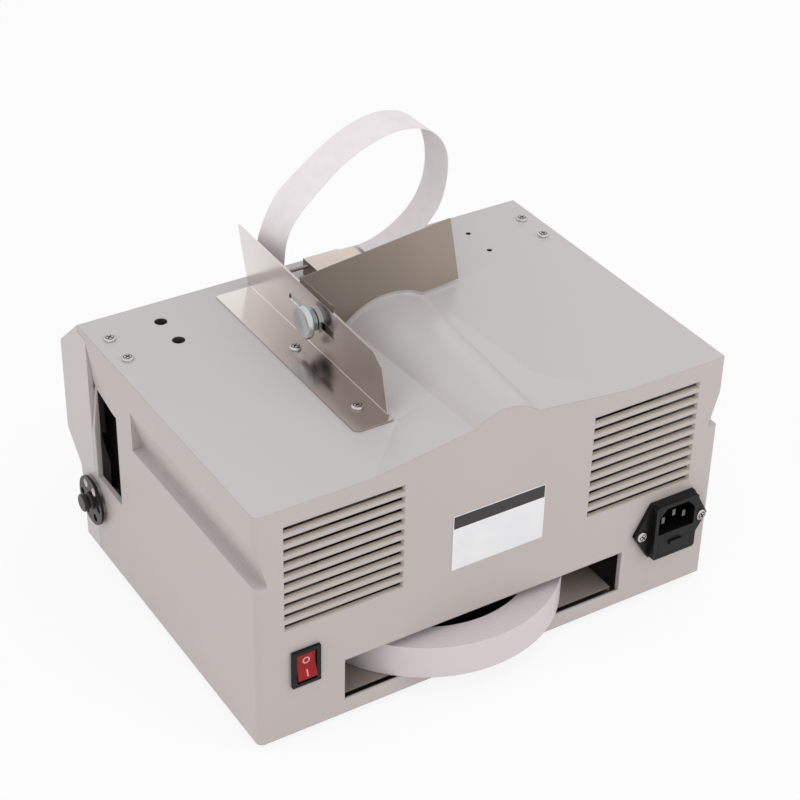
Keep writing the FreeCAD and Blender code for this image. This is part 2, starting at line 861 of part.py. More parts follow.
def cut_rear_wall(shell):
    """Louvres, tape opening and the cut-outs for the switch and the inlet."""
    lowest = "(deck_h - louvre_drop - (louvre_count - 1) * louvre_pitch)"
    slots = [
        mirrored(rear_view(rectangle(
            "louvre_inner", "louvre_inner + louvre_width",
            lowest, f"{lowest} + louvre_height",
        )), mirror)
        for mirror in (False, True)
    ]
    inside = back("wall + overcut")
    outside = back("-overcut")
    louvres = take(shell, "XZ", inside, outside, *slots)
    rows = shell.newObject("PartDesign::LinearPattern", "Louvres")
    rows.Originals = [louvres]
    rows.Direction = (louvres.Profile[0], ["V_Axis"])
    bind(rows, Length="(louvre_count - 1) * louvre_pitch", Occurrences="louvre_count")
    shell.Tip = rows

    opening = rear_view(rectangle("-opening_right", "opening_left", "opening_bottom_h", "opening_top_h"))
    switch = rear_view(rectangle(
        "switch_x - switch_body_width / 2 - joint_gap", "switch_x + switch_body_width / 2 + joint_gap",
        "switch_h - switch_body_height / 2 - joint_gap", "switch_h + switch_body_height / 2 + joint_gap",
    ))
    inlet = rear_view(rectangle(
        "inlet_x - inlet_body_width / 2 - joint_gap", "inlet_x + inlet_body_width / 2 + joint_gap",
        "inlet_h - inlet_body_down - joint_gap", "inlet_h + inlet_body_up + joint_gap",
    ))
    screws = [
        circle(f"inlet_x {sign} inlet_screw_pitch / 2", up("inlet_h"), "screw_radius + screw_gap") for sign in "+-"
    ]
    take(shell, "XZ", inside, outside, opening, switch, inlet, *screws)
    take(shell, "XZ", inside, back("sill_lip"), rear_view(rectangle(
        "-opening_right", "opening_left", "opening_bottom_h - sill_rebate", "opening_bottom_h + overcut",
    )))


def cut_deck(shell):
    """Screw holes, adjuster holes and the two openings of the sealing head."""
    deck_screw = "screw_radius + screw_gap"
    holes = [
        circle("adjuster_hole_x", back("adjuster_hole_front_d"), "adjuster_hole_radius"),
        circle("adjuster_hole_x", back("adjuster_hole_rear_d"), "adjuster_hole_radius"),
        circle("-sight_hole_x", back("sight_hole_front_d"), "sight_hole_radius"),
        circle("-sight_hole_x", back("sight_hole_rear_d"), "sight_hole_radius"),
        circle("bracket_screw_x", back("bracket_screw_front_d"), deck_screw),
        circle("bracket_screw_x", back("bracket_screw_rear_d"), deck_screw),
    ]
    for sign in ("", "-"):
        for distance in ("deck_screw_front_d", "deck_screw_rear_d"):
            holes.append(circle(f"{sign}deck_screw_x", back(distance), deck_screw))
    press = plan_view(rectangle(
        "cam_x - press_width / 2 - overcut", "cam_x + press_width / 2 + overcut",
        "press_d + heater_depth / 2 + overcut", "press_d - heater_depth / 2 - overcut",
    ))
    band = plan_view(rectangle(
        "bracket_x - sheet - tape_width / 2 - overcut", "bracket_x - sheet - overcut",
        "band_front_d + overcut", "band_front_d - tape_width - overcut",
    ))
    take(shell, "XY", up(CEILING_H) + " - overcut", up("deck_h") + " + overcut", *holes, press, band)


def on_panel(item, across, along, out):
    """Lays an item on the sloping panel: X, distance up the slope, distance off it."""
    item.Placement.Rotation = AXIS_ROTATIONS["Y"]
    bind(
        item,
        Placement__Rotation__Angle=PANEL_ANGLE,
        Placement__Base__x=across,
        Placement__Base__y=f"{back('(deck_front_d + body_depth) / 2')} + ({along}) * cos({PANEL_ANGLE})"
                           f" - ({out}) * sin({PANEL_ANGLE})",
        Placement__Base__z=f"{up('(deck_h + nose_top_h) / 2')} + ({along}) * sin({PANEL_ANGLE})"
                           f" + ({out}) * cos({PANEL_ANGLE})",
    )
    return item


def key_places():
    """Where the four keys stand along the panel."""
    return [f"(key_first + {number} * key_pitch)" for number in range(4)]


def make_front_bezel():
    """The front cover: control panel slope, nose and set-back toe."""
    bezel = new_body("front_bezel")
    seam = "shell_front_d + joint_gap"
    lip = "deck_front_d + joint_gap"
    add(bezel, "YZ", "-body_width / 2", "body_width / 2", side_view([
        (seam, "0"),
        (seam, f"{CEILING_H} - joint_gap"),
        (lip, f"{CEILING_H} - joint_gap"),
        (lip, "deck_h - joint_gap"),
        ("body_depth", "nose_top_h"),
        ("body_depth", "nose_bottom_h"),
        ("toe_front_d + edge_radius", "toe_top_h"),
        ("toe_front_d", "toe_top_h - body_depth + toe_front_d"),
        ("toe_front_d", "0"),
    ]))
    round_edges(bezel, "edge_radius", lambda edge: runs_along(edge, "x") and (
        passes(edge, y=back("body_depth")) or passes(edge, z=up("toe_top_h"))
    ))
    slope = "tan(" + PANEL_ANGLE + ")"
    drop = f"wall / cos({PANEL_ANGLE})"
    ceiling = f"({CEILING_H} - joint_gap)"
    take(bezel, "YZ", f"-{INNER_SIDE}", INNER_SIDE, side_view([
        ("shell_front_d - overcut", "-overcut"),
        ("shell_front_d - overcut", ceiling),
        (f"deck_front_d + (deck_h - {drop} - {ceiling}) / {slope}", ceiling),
        ("body_depth - wall", f"nose_top_h + wall * {slope} - {drop}"),
        ("body_depth - wall", "nose_bottom_h + wall / 3"),
        ("toe_front_d - wall + edge_radius", "toe_top_h + wall"),
        ("toe_front_d - wall", "toe_top_h - body_depth + toe_front_d + wall"),
        ("toe_front_d - wall", "-overcut"),
    ]))
    take(bezel, "YZ", INNER_SIDE + " - overcut", "body_width / 2 + overcut",
         circle(back("shaft_d"), up("shaft_h"), "shaft_hole_radius"))
    panel = bezel.newObject("Sketcher::SketchObject", "PanelSketch")
    panel.AttachmentSupport = (next(f for f in bezel.Origin.OriginFeatures if f.Role == "XY_Plane"), [""])
    panel.MapMode = "FlatFace"
    panel.AttachmentOffset = FreeCAD.Placement(FreeCAD.Vector(), FreeCAD.Rotation(FreeCAD.Vector(1, 0, 0), 1))
    bind(
        panel,
        AttachmentOffset__Rotation__Angle=PANEL_ANGLE,
        AttachmentOffset__Base__y=back("(deck_front_d + body_depth) / 2"),
        AttachmentOffset__Base__z=up("(deck_h + nose_top_h) / 2"),
    )
    outlines = [circle(place, "0", "key_radius + key_gap") for place in key_places()]
    outlines.append(rectangle(
        "display_x - display_width / 2", "display_x + display_width / 2",
        "-display_height / 2", "display_height / 2",
    ))
    draw(panel, outlines)
    holes = bezel.newObject("PartDesign::Pocket", "PanelHoles")
    holes.Profile = panel
    holes.Midplane = True
    bind(holes, Length="4 * wall")
    as_node(bezel, "front_bezel")


def make_panel_parts():
    """Keys, display lens and the key board under the sloping panel."""
    for number, place in enumerate(key_places(), 1):
        depth = "wall + key_collar + key_travel"
        cap = on_panel(doc.addObject("Part::Cylinder", "Cap"), place, "0", f"-({depth})")
        bind(cap, Radius="key_radius", Height=f"{depth} + key_proud")
        collar = on_panel(doc.addObject("Part::Cylinder", "Collar"), place, "0", "-(wall + key_gap + key_collar)")
        bind(collar, Radius="key_radius + key_collar", Height="key_collar")
        as_node(fuse(cap, collar), f"panel_key_{number}")
    lens = on_panel(
        doc.addObject("Part::Box", "Lens"),
        "display_x - display_width / 2 + joint_gap", "-display_height / 2 + joint_gap", "-wall",
    )
    bind(lens, Length="display_width - 2 * joint_gap", Width="display_height - 2 * joint_gap", Height="wall - joint_gap")
    rim = on_panel(
        doc.addObject("Part::Box", "LensRim"),
        "display_x - display_width / 2 - display_lip", "-display_height / 2 - display_lip",
        "-wall - display_lip",
    )
    bind(rim, Length="display_width + 2 * display_lip", Width="display_height + 2 * display_lip", Height="display_lip")
    as_node(fuse(lens, rim), "display_window")
    board = on_panel(
        doc.addObject("Part::Box", "Board"), "-key_board_width / 2 + display_width / 2", "-key_board_depth / 2",
        "-(wall + key_collar + 2 * key_travel + board_thickness)",
    )
    bind(board, Length="key_board_width", Width="key_board_depth", Height="board_thickness")
    as_node(board, "key_board")


# --------------------------------------------------------------- base, feet

def make_base():
    """Sheet-steel bottom with its stiffening flange, feet and screws."""
    plate = new_body("base_plate")
    edge = f"({INNER_SIDE} - joint_gap)"
    front = "(toe_front_d - wall - joint_gap)"
    rear = "(wall + joint_gap)"
    bosses = "(2 * boss_radius + base_flange_inset)"
    add(plate, "XY", up(0), up("base_thickness"), plan_view(rectangle(f"-{edge}", edge, front, rear)))
    add(plate, "XY", up(0), up("base_flange_h"),
        plan_view(rectangle(f"-{edge} + {bosses}", f"{edge} - {bosses}", f"{rear} + base_thickness", rear)))
    holes = []
    feet = []
    screws = []
    for sign in ("", "-"):
        for distance in ("boss_rear_d", "boss_front_d"):
            across = f"{sign}({INNER_SIDE} - boss_radius + wall / 2)"
            holes.append(circle(across, back(distance), "screw_radius + screw_gap"))
            screws.append(screw("Z", -1, across, back(distance), up(0), "boss_top_h - 2 * wall"))
        for distance in ("foot_inset", "toe_front_d - foot_inset"):
            foot = doc.addObject("Part::Cone", "Foot")
            bind(foot, Radius1="foot_radius - foot_taper", Radius2="foot_radius", Height="foot_height")
            bind(foot, Placement__Base__x=f"{sign}(body_width / 2 - foot_inset)", Placement__Base__y=back(distance))
            feet.append(foot)
    take(plate, "XY", up("-overcut"), up("base_thickness") + " + overcut", *holes)
    as_node(plate, "base_plate")
    as_node(group(feet), "rubber_feet")
    as_node(group(screws), "base_screws")


def make_deck_screws():
    """Pan-head screws through the deck into the flanges of the side plates."""
    screws = []
    for sign in ("", "-"):
        for distance in ("deck_screw_front_d", "deck_screw_rear_d"):
            length = "deck_thickness + plate_thickness + wall"
            screws.append(screw("Z", 1, f"{sign}deck_screw_x", back(distance), up("deck_h"), length))
    as_node(group(screws), "deck_screws")


# ------------------------------------------------------------- rear fittings

def make_rating_label():
    """A thin plate on the rear wall, left bare."""
    label = box(
        "-label_width / 2", "label_width / 2", "-label_thickness", "0",
        "label_h - label_height / 2", "label_h + label_height / 2",
    )
    as_node(label, "rating_label")


def make_switch():
    """Snap-in rocker switch: frame with its body, and the rocker on its axle."""
    frame = new_body("switch_frame")
    face = back("-switch_proud")
    add(frame, "XZ", back("0"), face, rear_view(rectangle(
        "switch_x - switch_width / 2", "switch_x + switch_width / 2",
        "switch_h - switch_height / 2", "switch_h + switch_height / 2",
    )))
    add(frame, "XZ", back("switch_body_depth"), back("0"), rear_view(rectangle(
        "switch_x - switch_body_width / 2", "switch_x + switch_body_width / 2",
        "switch_h - switch_body_height / 2", "switch_h + switch_body_height / 2",
    )))
    half_width = "(rocker_width / 2 + rocker_gap)"
    half_height = "(rocker_radius + rocker_gap)"
    take(frame, "XZ", back("rocker_pivot_d + rocker_waist"), f"{face} + overcut", rear_view(rectangle(
        f"switch_x - {half_width}", f"switch_x + {half_width}",
        f"switch_h - {half_height}", f"switch_h + {half_height}",
    )))
    axle_length = "switch_body_width - 2 * rocker_axle_inset"
    take(frame, "YZ", f"switch_x - ({axle_length}) / 2", f"switch_x + ({axle_length}) / 2",
         circle(back("rocker_pivot_d"), up("switch_h"), "rocker_axle_radius + running_gap"))
    as_node(frame, "switch_frame")

    rocker = new_body("switch_rocker")
    reach = "sqrt(rocker_radius * rocker_radius - rocker_face * rocker_face)"
    add(rocker, "YZ", "-rocker_width / 2", "rocker_width / 2", [
        ("rocker_face", f"-{reach}"),
        ("rocker_waist", "0"),
        ("rocker_face", reach, "rocker_radius"),
        ("0", "rocker_radius"),
        ("-rocker_waist / 2", "rocker_waist / 2"),
        ("-rocker_waist / 2", "-rocker_waist / 2"),
        ("0", "-rocker_radius", "rocker_radius"),
    ])
    add(rocker, "YZ", f"-({axle_length}) / 2 + running_gap", f"({axle_length}) / 2 - running_gap",
        circle("0", "0", "rocker_axle_radius"))
    rocker.Placement.Rotation = FreeCAD.Rotation(FreeCAD.Vector(1, 0, 0), 1)
    bind(
        rocker, Placement__Rotation__Angle="rocker_tilt", Placement__Base__x="switch_x",
        Placement__Base__y=back("rocker_pivot_d"), Placement__Base__z=up("switch_h"),
    )
    as_node(rocker, "switch_rocker")


def make_inlet():
    """Mains inlet with a screw flange, three pins and a fuse drawer."""
    inlet = new_body("inlet_body")
    half = "inlet_width / 2"
    block = "inlet_block_width / 2"
    top = "inlet_h + inlet_up"
    low = "inlet_h - inlet_down"
    flange = back("-inlet_flange")
    face = back("-inlet_flange - inlet_proud")
    add(inlet, "XZ", back("0"), flange, rear_view([
        (f"inlet_x - {block}", low),
        (f"inlet_x + {block}", low),
        (f"inlet_x + {half}", "inlet_h"),
        (f"inlet_x + {block}", top),
        (f"inlet_x - {block}", top),
        (f"inlet_x - {half}", "inlet_h"),
    ]))
    add(inlet, "XZ", flange, face, rear_view(rectangle(
        f"inlet_x - {block}", f"inlet_x + {block}", low, top,
    )))
    round_edges(inlet, "edge_radius", lambda edge: runs_along(edge, "y") and (
        edge.Length < value("inlet_proud + inlet_flange") - 0.01
    ) and any(passes(edge, z=up(level), y=back("-inlet_flange - inlet_proud / 2")) for level in (top, low)))
    add(inlet, "XZ", back("inlet_body_depth"), back("0"), rear_view(rectangle(
        "inlet_x - inlet_body_width / 2", "inlet_x + inlet_body_width / 2",
        "inlet_h - inlet_body_down", "inlet_h + inlet_body_up",
    )))
    socket_top = "inlet_h + socket_up + socket_height / 2"
    socket_low = "inlet_h + socket_up - socket_height / 2"
    take(inlet, "XZ", back("socket_depth - inlet_flange - inlet_proud"), f"{face} + overcut", rear_view([
        ("inlet_x - socket_width / 2", socket_low),
        ("inlet_x + socket_width / 2", socket_low),
        ("inlet_x + socket_width / 2", f"{socket_top} - socket_chamfer"),
        ("inlet_x + socket_width / 2 - socket_chamfer", socket_top),
        ("inlet_x - socket_width / 2 + socket_chamfer", socket_top),
        ("inlet_x - socket_width / 2", f"{socket_top} - socket_chamfer"),
    ]))
    take(inlet, "XZ", back("fuse_drawer_depth - inlet_flange - inlet_proud + joint_gap"), f"{face} + overcut",
         rear_view(rectangle(
             "inlet_x - fuse_drawer_width / 2 - joint_gap", "inlet_x + fuse_drawer_width / 2 + joint_gap",
             "inlet_h - fuse_drawer_down - fuse_drawer_height / 2 - joint_gap",
             "inlet_h - fuse_drawer_down + fuse_drawer_height / 2 + joint_gap",
         )))
    take(inlet, "XZ", back("overcut"), f"{flange} + overcut", *[
        circle(f"inlet_x {sign} inlet_screw_pitch / 2", up("inlet_h"), "screw_radius + screw_gap") for sign in "+-"
    ])
    as_node(inlet, "inlet_body")

    floor = "(socket_depth - inlet_flange - inlet_proud)"
    pins = []
    for step, rise in ((-1, "-pin_drop"), (0, "pin_drop"), (1, "-pin_drop")):
        across = f"inlet_x + {step} * pin_pitch / 2"
        middle = f"inlet_h + socket_up + {rise}"
        pins.append(box(
            f"{across} - pin_width / 2", f"{across} + pin_width / 2", f"{floor} - pin_length", floor,
            f"{middle} - pin_height / 2", f"{middle} + pin_height / 2",
        ))
    as_node(group(pins), "inlet_pins")

    screws = [
        screw("Y", 1, f"inlet_x {sign} inlet_screw_pitch / 2", up("inlet_h"), flange, "inlet_flange + 3 * wall")
        for sign in "+-"
    ]
    as_node(group(screws), "inlet_screws")
    make_fuse_drawer()


def make_fuse_drawer():
    """The drawer under the socket, with its pull tab and the fuse that it holds."""
    face_d = "(-inlet_flange - inlet_proud)"
    middle = "(inlet_h - fuse_drawer_down)"
    drawer = box(
        "inlet_x - fuse_drawer_width / 2", "inlet_x + fuse_drawer_width / 2", face_d,
        f"{face_d} + fuse_drawer_depth", f"{middle} - fuse_drawer_height / 2", f"{middle} + fuse_drawer_height / 2",
    )
    tab = box(
        "inlet_x - tab_width / 2", "inlet_x + tab_width / 2", f"{face_d} - tab_proud", f"{face_d} + overcut",
        f"{middle} + fuse_drawer_height / 2 - tab_height", f"{middle} + fuse_drawer_height / 2",
    )
    fuse_d = f"({face_d} + fuse_drawer_depth / 2)"
    cradle = box(
        "inlet_x - fuse_length / 2 - joint_gap", "inlet_x + fuse_length / 2 + joint_gap",
        f"{fuse_d} - fuse_radius - joint_gap", f"{fuse_d} + fuse_radius + joint_gap",
        f"{middle} - fuse_radius - joint_gap", f"{middle} + fuse_drawer_height",
    )
    as_node(cut(fuse(drawer, tab), cradle), "fuse_drawer")
    cartridge = rod(
        "X", back(fuse_d), up(middle), "inlet_x - fuse_length / 2", "inlet_x + fuse_length / 2", "fuse_radius",
    )
    as_node(cartridge, "fuse")


# -------------------------------------------------- guide bracket and stop

DECK = up("deck_h")


def make_guide_bracket():
    """Sheet-steel angle on the deck: screwed flange, leaning front edge, slot."""
    bracket = new_body("guide_bracket")
    top = "(deck_h + upright_height)"
    add(bracket, "YZ", "bracket_x", "bracket_x + sheet", side_view([
        ("bracket_front_d", "deck_h"),
        ("bracket_rear_d", "deck_h"),
        ("bracket_rear_d + upright_rear_step", f"{top} - upright_rear_drop"),
        ("bracket_rear_d + upright_rear_cut", f"{top} - upright_sag"),
        ("bracket_front_d + upright_lean", top),
    ]))
    outer = "(bracket_x + bracket_flange)"
    front = "(bracket_front_d - bracket_front_inset)"
    rear = "(bracket_rear_d - bracket_rear_inset)"
    add(bracket, "XY", DECK, f"{DECK} + sheet", plan_view([
        ("bracket_x", front),
        (outer, front),
        (outer, f"{rear} + flange_corner_radius", "flange_corner_radius"),
        (f"{outer} - flange_corner_radius", rear),
        ("bracket_x", rear),
    ]))
    round_edges(bracket, "bend_radius", lambda edge: runs_along(edge, "y") and passes(
        edge, x="bracket_x", z=DECK))
    round_edges(bracket, "bend_radius - sheet", lambda edge: runs_along(edge, "y") and passes(
        edge, x="bracket_x + sheet", z=f"{DECK} + sheet"))
    low = "deck_h + slot_rise - slot_width / 2"
    high = "deck_h + slot_rise + slot_width / 2"
    take(bracket, "YZ", "bracket_x - overcut", "bracket_x + sheet + overcut", [
        (back("slot_front_d - slot_width / 2"), up(low)),
        (back("slot_rear_d + slot_width / 2"), up(low), "slot_width / 2"),
        (back("slot_rear_d + slot_width / 2"), up(high)),
        (back("slot_front_d - slot_width / 2"), up(high), "slot_width / 2"),
    ])
    take(bracket, "XY", f"{DECK} - overcut", f"{DECK} + sheet + overcut",
         circle("bracket_screw_x", back("bracket_screw_front_d"), "screw_radius + screw_gap"),
         circle("bracket_screw_x", back("bracket_screw_rear_d"), "screw_radius + screw_gap"))
    as_node(bracket, "guide_bracket")
    screws = [
        screw("Z", 1, "bracket_screw_x", back(distance), f"{DECK} + sheet", "sheet + deck_thickness + wall")
        for distance in ("bracket_screw_front_d", "bracket_screw_rear_d")
    ]
    as_node(group(screws), "bracket_screws")


def make_stop():
    """The sliding stop: a leaning plate arched over the hump, folded from a flange."""
    inner = "(bracket_x - slide_gap)"
    bottom = f"({DECK} + stop_gap)"
    rise = "(stop_height * cos(stop_lean))"
    lean = "(stop_height * sin(stop_lean))"
    flange = new_body("stop_flange")
    add(flange, "YZ", f"{inner} - sheet", inner, [
        (back("stop_bottom_d + sheet"), bottom),
        (back("stop_flange_rear_d"), bottom),
        (back("stop_flange_rear_d"), f"{bottom} + {rise}"),
        (back(f"stop_bottom_d + sheet + {lean}"), f"{bottom} + {rise}"),
    ])
    hole = circle(back("stop_screw_d"), f"{DECK} + slot_rise", "thumb_shank_radius + slide_gap")
    take(flange, "YZ", f"{inner} - sheet - overcut", f"{inner} + overcut", hole)

    plate = new_body("stop_plate_blank")
    arch_to = "(stop_arch_from + stop_arch_width)"
    radius = "(stop_arch_width * stop_arch_width / 4 + stop_arch_rise * stop_arch_rise) / (2 * stop_arch_rise)"
    add(plate, "XY", "0", "sheet", [
        ("overcut", "0"),
        ("overcut", "stop_height"),
        ("-stop_width - stop_flare", "stop_height + stop_rise"),
        ("-stop_width", "0"),
        (f"-{arch_to}", "0", f"-({radius})"),
        ("-stop_arch_from", "0"),
    ])
    plate.Placement.Rotation = FreeCAD.Rotation(1, 0, 91)
    bind(
        plate, Placement__Rotation__Yaw="stop_turn", Placement__Rotation__Roll="90 + stop_lean",
        Placement__Base__x=f"{inner} - sheet", Placement__Base__y=back("stop_bottom_d"), Placement__Base__z=bottom,
    )
    beyond = box(
        inner, "bracket_x + stop_width", "stop_bottom_d - stop_height", "stop_bottom_d + stop_height",
        "deck_h", "deck_h + 2 * stop_height",
    )
    as_node(cut(fuse(flange, plate), beyond), "stop_plate")


def make_thumb_screw():
    """Knurled thumb screw with its washer, and the nut inside the stop's flange."""
    axis_y = back("stop_screw_d")
    axis_z = f"({DECK} + slot_rise)"
    face = "(bracket_x + sheet)"
    seat = f"({face} + thumb_washer)"
    collar_end = f"({seat} + thumb_collar)"
    inner = "(bracket_x - slide_gap - sheet)"
    shank = rod("X", axis_y, axis_z, f"{inner} - clamp_nut_height", seat, "thumb_shank_radius")
    collar = rod("X", axis_y, axis_z, seat, collar_end, "thumb_collar_radius")
    head = rod("X", axis_y, axis_z, collar_end, f"{collar_end} + thumb_head", "thumb_radius")
    as_node(fuse(shank, collar, head), "thumb_screw")
    washer = cut(
        rod("X", axis_y, axis_z, face, seat, "thumb_washer_radius"),
        rod("X", axis_y, axis_z, f"{face} - overcut", f"{seat} + overcut", "thumb_shank_radius + slide_gap"),
    )
    as_node(washer, "thumb_washer")
    nut = doc.addObject("Part::Prism", "Nut")
    nut.Polygon = 6
    nut.Placement.Rotation = AXIS_ROTATIONS["X"]
    bind(nut, Circumradius="clamp_nut_across / sqrt(3)", Height="clamp_nut_height")
    bind(nut, Placement__Base__x=f"{inner} - clamp_nut_height", Placement__Base__y=axis_y, Placement__Base__z=axis_z)
    bore = rod(
        "X", axis_y, axis_z, f"{inner} - clamp_nut_height - overcut", f"{inner} + overcut",
        "thumb_shank_radius + running_gap",
    )
    as_node(cut(nut, bore), "clamp_nut")


# ------------------------------------------------------------- sealing head

def make_head():
    """The anvil block over the heater, its tongue and the guide rod."""
    head = new_body("head_cover")
    top = "deck_h + head_height"
    add(head, "XZ", back("head_front_d"), back("head_rear_d"), rear_view([
        ("-head_right", "deck_h"),
        ("head_left", "deck_h"),
        ("head_left", top),
        ("-head_step", top),
        ("-head_step", f"{top} - head_step_drop"),
        ("-head_right", f"{top} - head_step_drop"),
    ]))
    take(head, "XZ", back("head_front_d - head_foot"), back("head_rear_d + head_foot"), rear_view(rectangle(
        "-head_right - overcut", "head_left - head_foot", "deck_h - overcut", "deck_h + head_channel",
    )))
    take(head, "YZ", "head_left - head_foot", "head_left + overcut",
         circle(back("guide_rod_d"), f"{DECK} + guide_rod_rise", "guide_rod_radius + running_gap"))
    round_edges(head, "edge_radius / 4", lambda edge: runs_along(edge, "x") and passes(edge, z=up(top)))
    as_node(head, "head_cover")

    tongue = new_body("head_tongue")
    low = "deck_h + head_channel"
    add(tongue, "XZ", back("band_front_d"), back("band_front_d - tape_width"), rear_view([
        ("-head_right - joint_gap", "deck_h + tongue_rise"),
        ("-head_right - joint_gap", "deck_h"),
        ("-head_right - tongue_thickness", "deck_h"),
        ("-head_right - tongue_thickness", f"{low} - tongue_thickness / 2"),
        ("-head_right - tongue_reach", f"{low} - tongue_thickness / 2"),
        ("-head_right - tongue_reach", f"{low} + tongue_thickness / 2"),
        ("-head_right - tongue_thickness", f"{low} + tongue_thickness / 2"),
        ("-head_right - tongue_thickness", "deck_h + tongue_rise"),
    ]))
    as_node(tongue, "head_tongue")

    guide = rod(
        "X", back("guide_rod_d"), f"{DECK} + guide_rod_rise", "head_left - head_foot",
        "head_left + guide_rod_length", "guide_rod_radius",
    )
    as_node(guide, "guide_rod")


def band_edge(corners, distance):
    """One edge of the paper band as a smooth curve."""
    depth = value(back(distance))
    spline = Part.BSplineCurve()
    spline.interpolate([FreeCAD.Vector(across, depth, value(DECK) + rise) for across, rise in corners])
    return spline.toShape()


OFFSET_TOLERANCE = 0.001


def make_band():
    """The free loop of paper tape that stands over the head."""
    front = band_edge(BAND_FRONT_EDGE, "band_front_d")
    rear = band_edge(BAND_REAR_EDGE, "band_front_d - tape_width")
    strip = Part.makeRuledSurface(front, rear)
    band = doc.addObject("Part::Feature", "Band")
    band.Shape = strip.makeOffsetShape(value("band_thickness"), OFFSET_TOLERANCE, fill=True)
    as_node(band, "paper_band")


# --------------------------------------------------------- tape roll and tray

def make_roll():
    """The flat roll of paper tape on its hub."""
    roll_y = back("roll_d")
    bottom = up("opening_bottom_h + roll_clearance")
    roll = new_body("paper_roll")
    add(roll, "XY", bottom, f"{bottom} + tape_width",
        circle("roll_x", roll_y, "roll_radius"), circle("roll_x", roll_y, "roll_bore"))
    as_node(roll, "paper_roll")

    hub = new_body("roll_hub")
    bore = "spindle_radius + running_gap"
    rim = "roll_bore - joint_gap"
    revolve(hub, "XZ", "0", "V_Axis", [
        (bore, "0"),
        (rim, "0"),
        (rim, "hub_height"),
        (f"{rim} - hub_rim", "hub_height"),
        (f"{rim} - hub_rim", "hub_web"),
        ("hub_boss_radius", "hub_web"),
        ("hub_boss_radius", "hub_height"),
        (bore, "hub_height"),
    ])
    bind(hub, Placement__Base__x="roll_x", Placement__Base__y=roll_y, Placement__Base__z=bottom)
    as_node(hub, "roll_hub")


def make_tray():
    """The grey sheet-metal floor under the roll, with its folded feet and spindle."""
    tray = new_body("tape_tray")
    left = "(opening_left - tray_inset)"
    right = "(opening_right - tray_inset)"
    rear = "(wall + base_thickness + 2 * joint_gap)"
    add(tray, "XZ", back("tray_front_d"), back(rear), rear_view([
        (f"-{right}", "base_thickness"),
        (f"-{right}", "opening_bottom_h"),
        (left, "opening_bottom_h"),
        (left, "base_thickness"),
        (f"{left} - tray_thickness", "base_thickness"),
        (f"{left} - tray_thickness", "opening_bottom_h - tray_thickness"),
        (f"-{right} + tray_thickness", "opening_bottom_h - tray_thickness"),
        (f"-{right} + tray_thickness", "base_thickness"),
    ]))
    add(tray, "XY", up("opening_bottom_h - tray_thickness / 2"),
        up("opening_bottom_h + roll_clearance + hub_height + roll_clearance"),
        circle("roll_x", back("roll_d"), "spindle_radius"))
    as_node(tray, "tape_tray")


# ------------------------------------------------- hand wheel and main shaft

SHAFT_Y = back("shaft_d")
SHAFT_Z = up("shaft_h")
WHEEL_X = "(body_width / 2 + wheel_stand_off)"


def make_hand_wheel():
    """Perforated disc and spool-shaped knob on the left end of the main shaft."""
    disc = new_body("hand_wheel_disc")
    add(disc, "YZ", WHEEL_X, f"{WHEEL_X} + wheel_thickness",
        circle(SHAFT_Y, SHAFT_Z, "wheel_radius"), circle(SHAFT_Y, SHAFT_Z, "shaft_radius + running_gap"))
    holes = [
        circle(
            f"{SHAFT_Y} + wheel_hole_circle * cos({number} * 360 / wheel_hole_count)",
            f"{SHAFT_Z} + wheel_hole_circle * sin({number} * 360 / wheel_hole_count)", "wheel_hole_radius",
        )
        for number in range(int(SIZES["wheel_hole_count"]))
    ]
    take(disc, "YZ", f"{WHEEL_X} - overcut", f"{WHEEL_X} + wheel_thickness + overcut", *holes)
    as_node(disc, "hand_wheel_disc")

    knob = new_body("hand_wheel_knob")
    bore = "shaft_radius + running_gap"
    revolve(knob, "XY", "0", "H_Axis", [
        ("0", bore),
        ("0", "knob_waist_radius + knob_flare"),
        ("knob_foot", "knob_waist_radius + knob_flare"),
        ("knob_foot + knob_flare", "knob_waist_radius"),
        ("knob_length - knob_grip - knob_flare", "knob_waist_radius"),
        ("knob_length - knob_grip", "knob_radius"),
        ("knob_length - knob_chamfer", "knob_radius"),
        ("knob_length", "knob_radius - knob_chamfer"),
        ("knob_length", "0"),
        ("knob_bore_depth", "0"),
        ("knob_bore_depth", bore),
    ])
    bind(
        knob, Placement__Base__x=f"{WHEEL_X} + wheel_thickness", Placement__Base__y=SHAFT_Y,
        Placement__Base__z=SHAFT_Z,
    )
    as_node(knob, "hand_wheel_knob")
    shaft = rod(
        "X", SHAFT_Y, SHAFT_Z, "-head_plate_x + joint_gap", f"{WHEEL_X} + wheel_thickness + knob_bore_depth",
        "shaft_radius",
    )
    as_node(shaft, "main_shaft")


def gear(label, teeth, start, end, axis_y, axis_z, bore, phase):
    """A spur gear about an X axis, with straight-flanked teeth and a bore."""
    module = value("gear_module")
    count = int(value(teeth))
    tip = module * (count / 2 + value("tooth_addendum"))
    root = module * (count / 2 - value("tooth_dedendum"))
    foot = value("tooth_foot_share") / 2
    crest = value("tooth_crest_share") / 2
    outline = []
    for tooth in range(count):
        for turn, radius in ((-foot, root), (-crest, tip), (crest, tip), (foot, root)):
            angle = 2 * math.pi * (tooth + turn + phase) / count
            outline.append(FreeCAD.Vector(value(start), radius * math.cos(angle), radius * math.sin(angle)))
    outline.append(outline[0])
    along = FreeCAD.Vector(value(end) - value(start), 0, 0)
    blank = Part.Face(Part.makePolygon(outline)).extrude(along)
    hole = Part.makeCylinder(
        value(bore), along.x + 2, FreeCAD.Vector(value(start) - 1, 0, 0), FreeCAD.Vector(1, 0, 0),
    )
    wheel = doc.addObject("Part::Feature", "Gear")
    wheel.Shape = blank.cut(hole)
    bind(wheel, Placement__Base__y=axis_y, Placement__Base__z=axis_z)
    as_node(wheel, label)


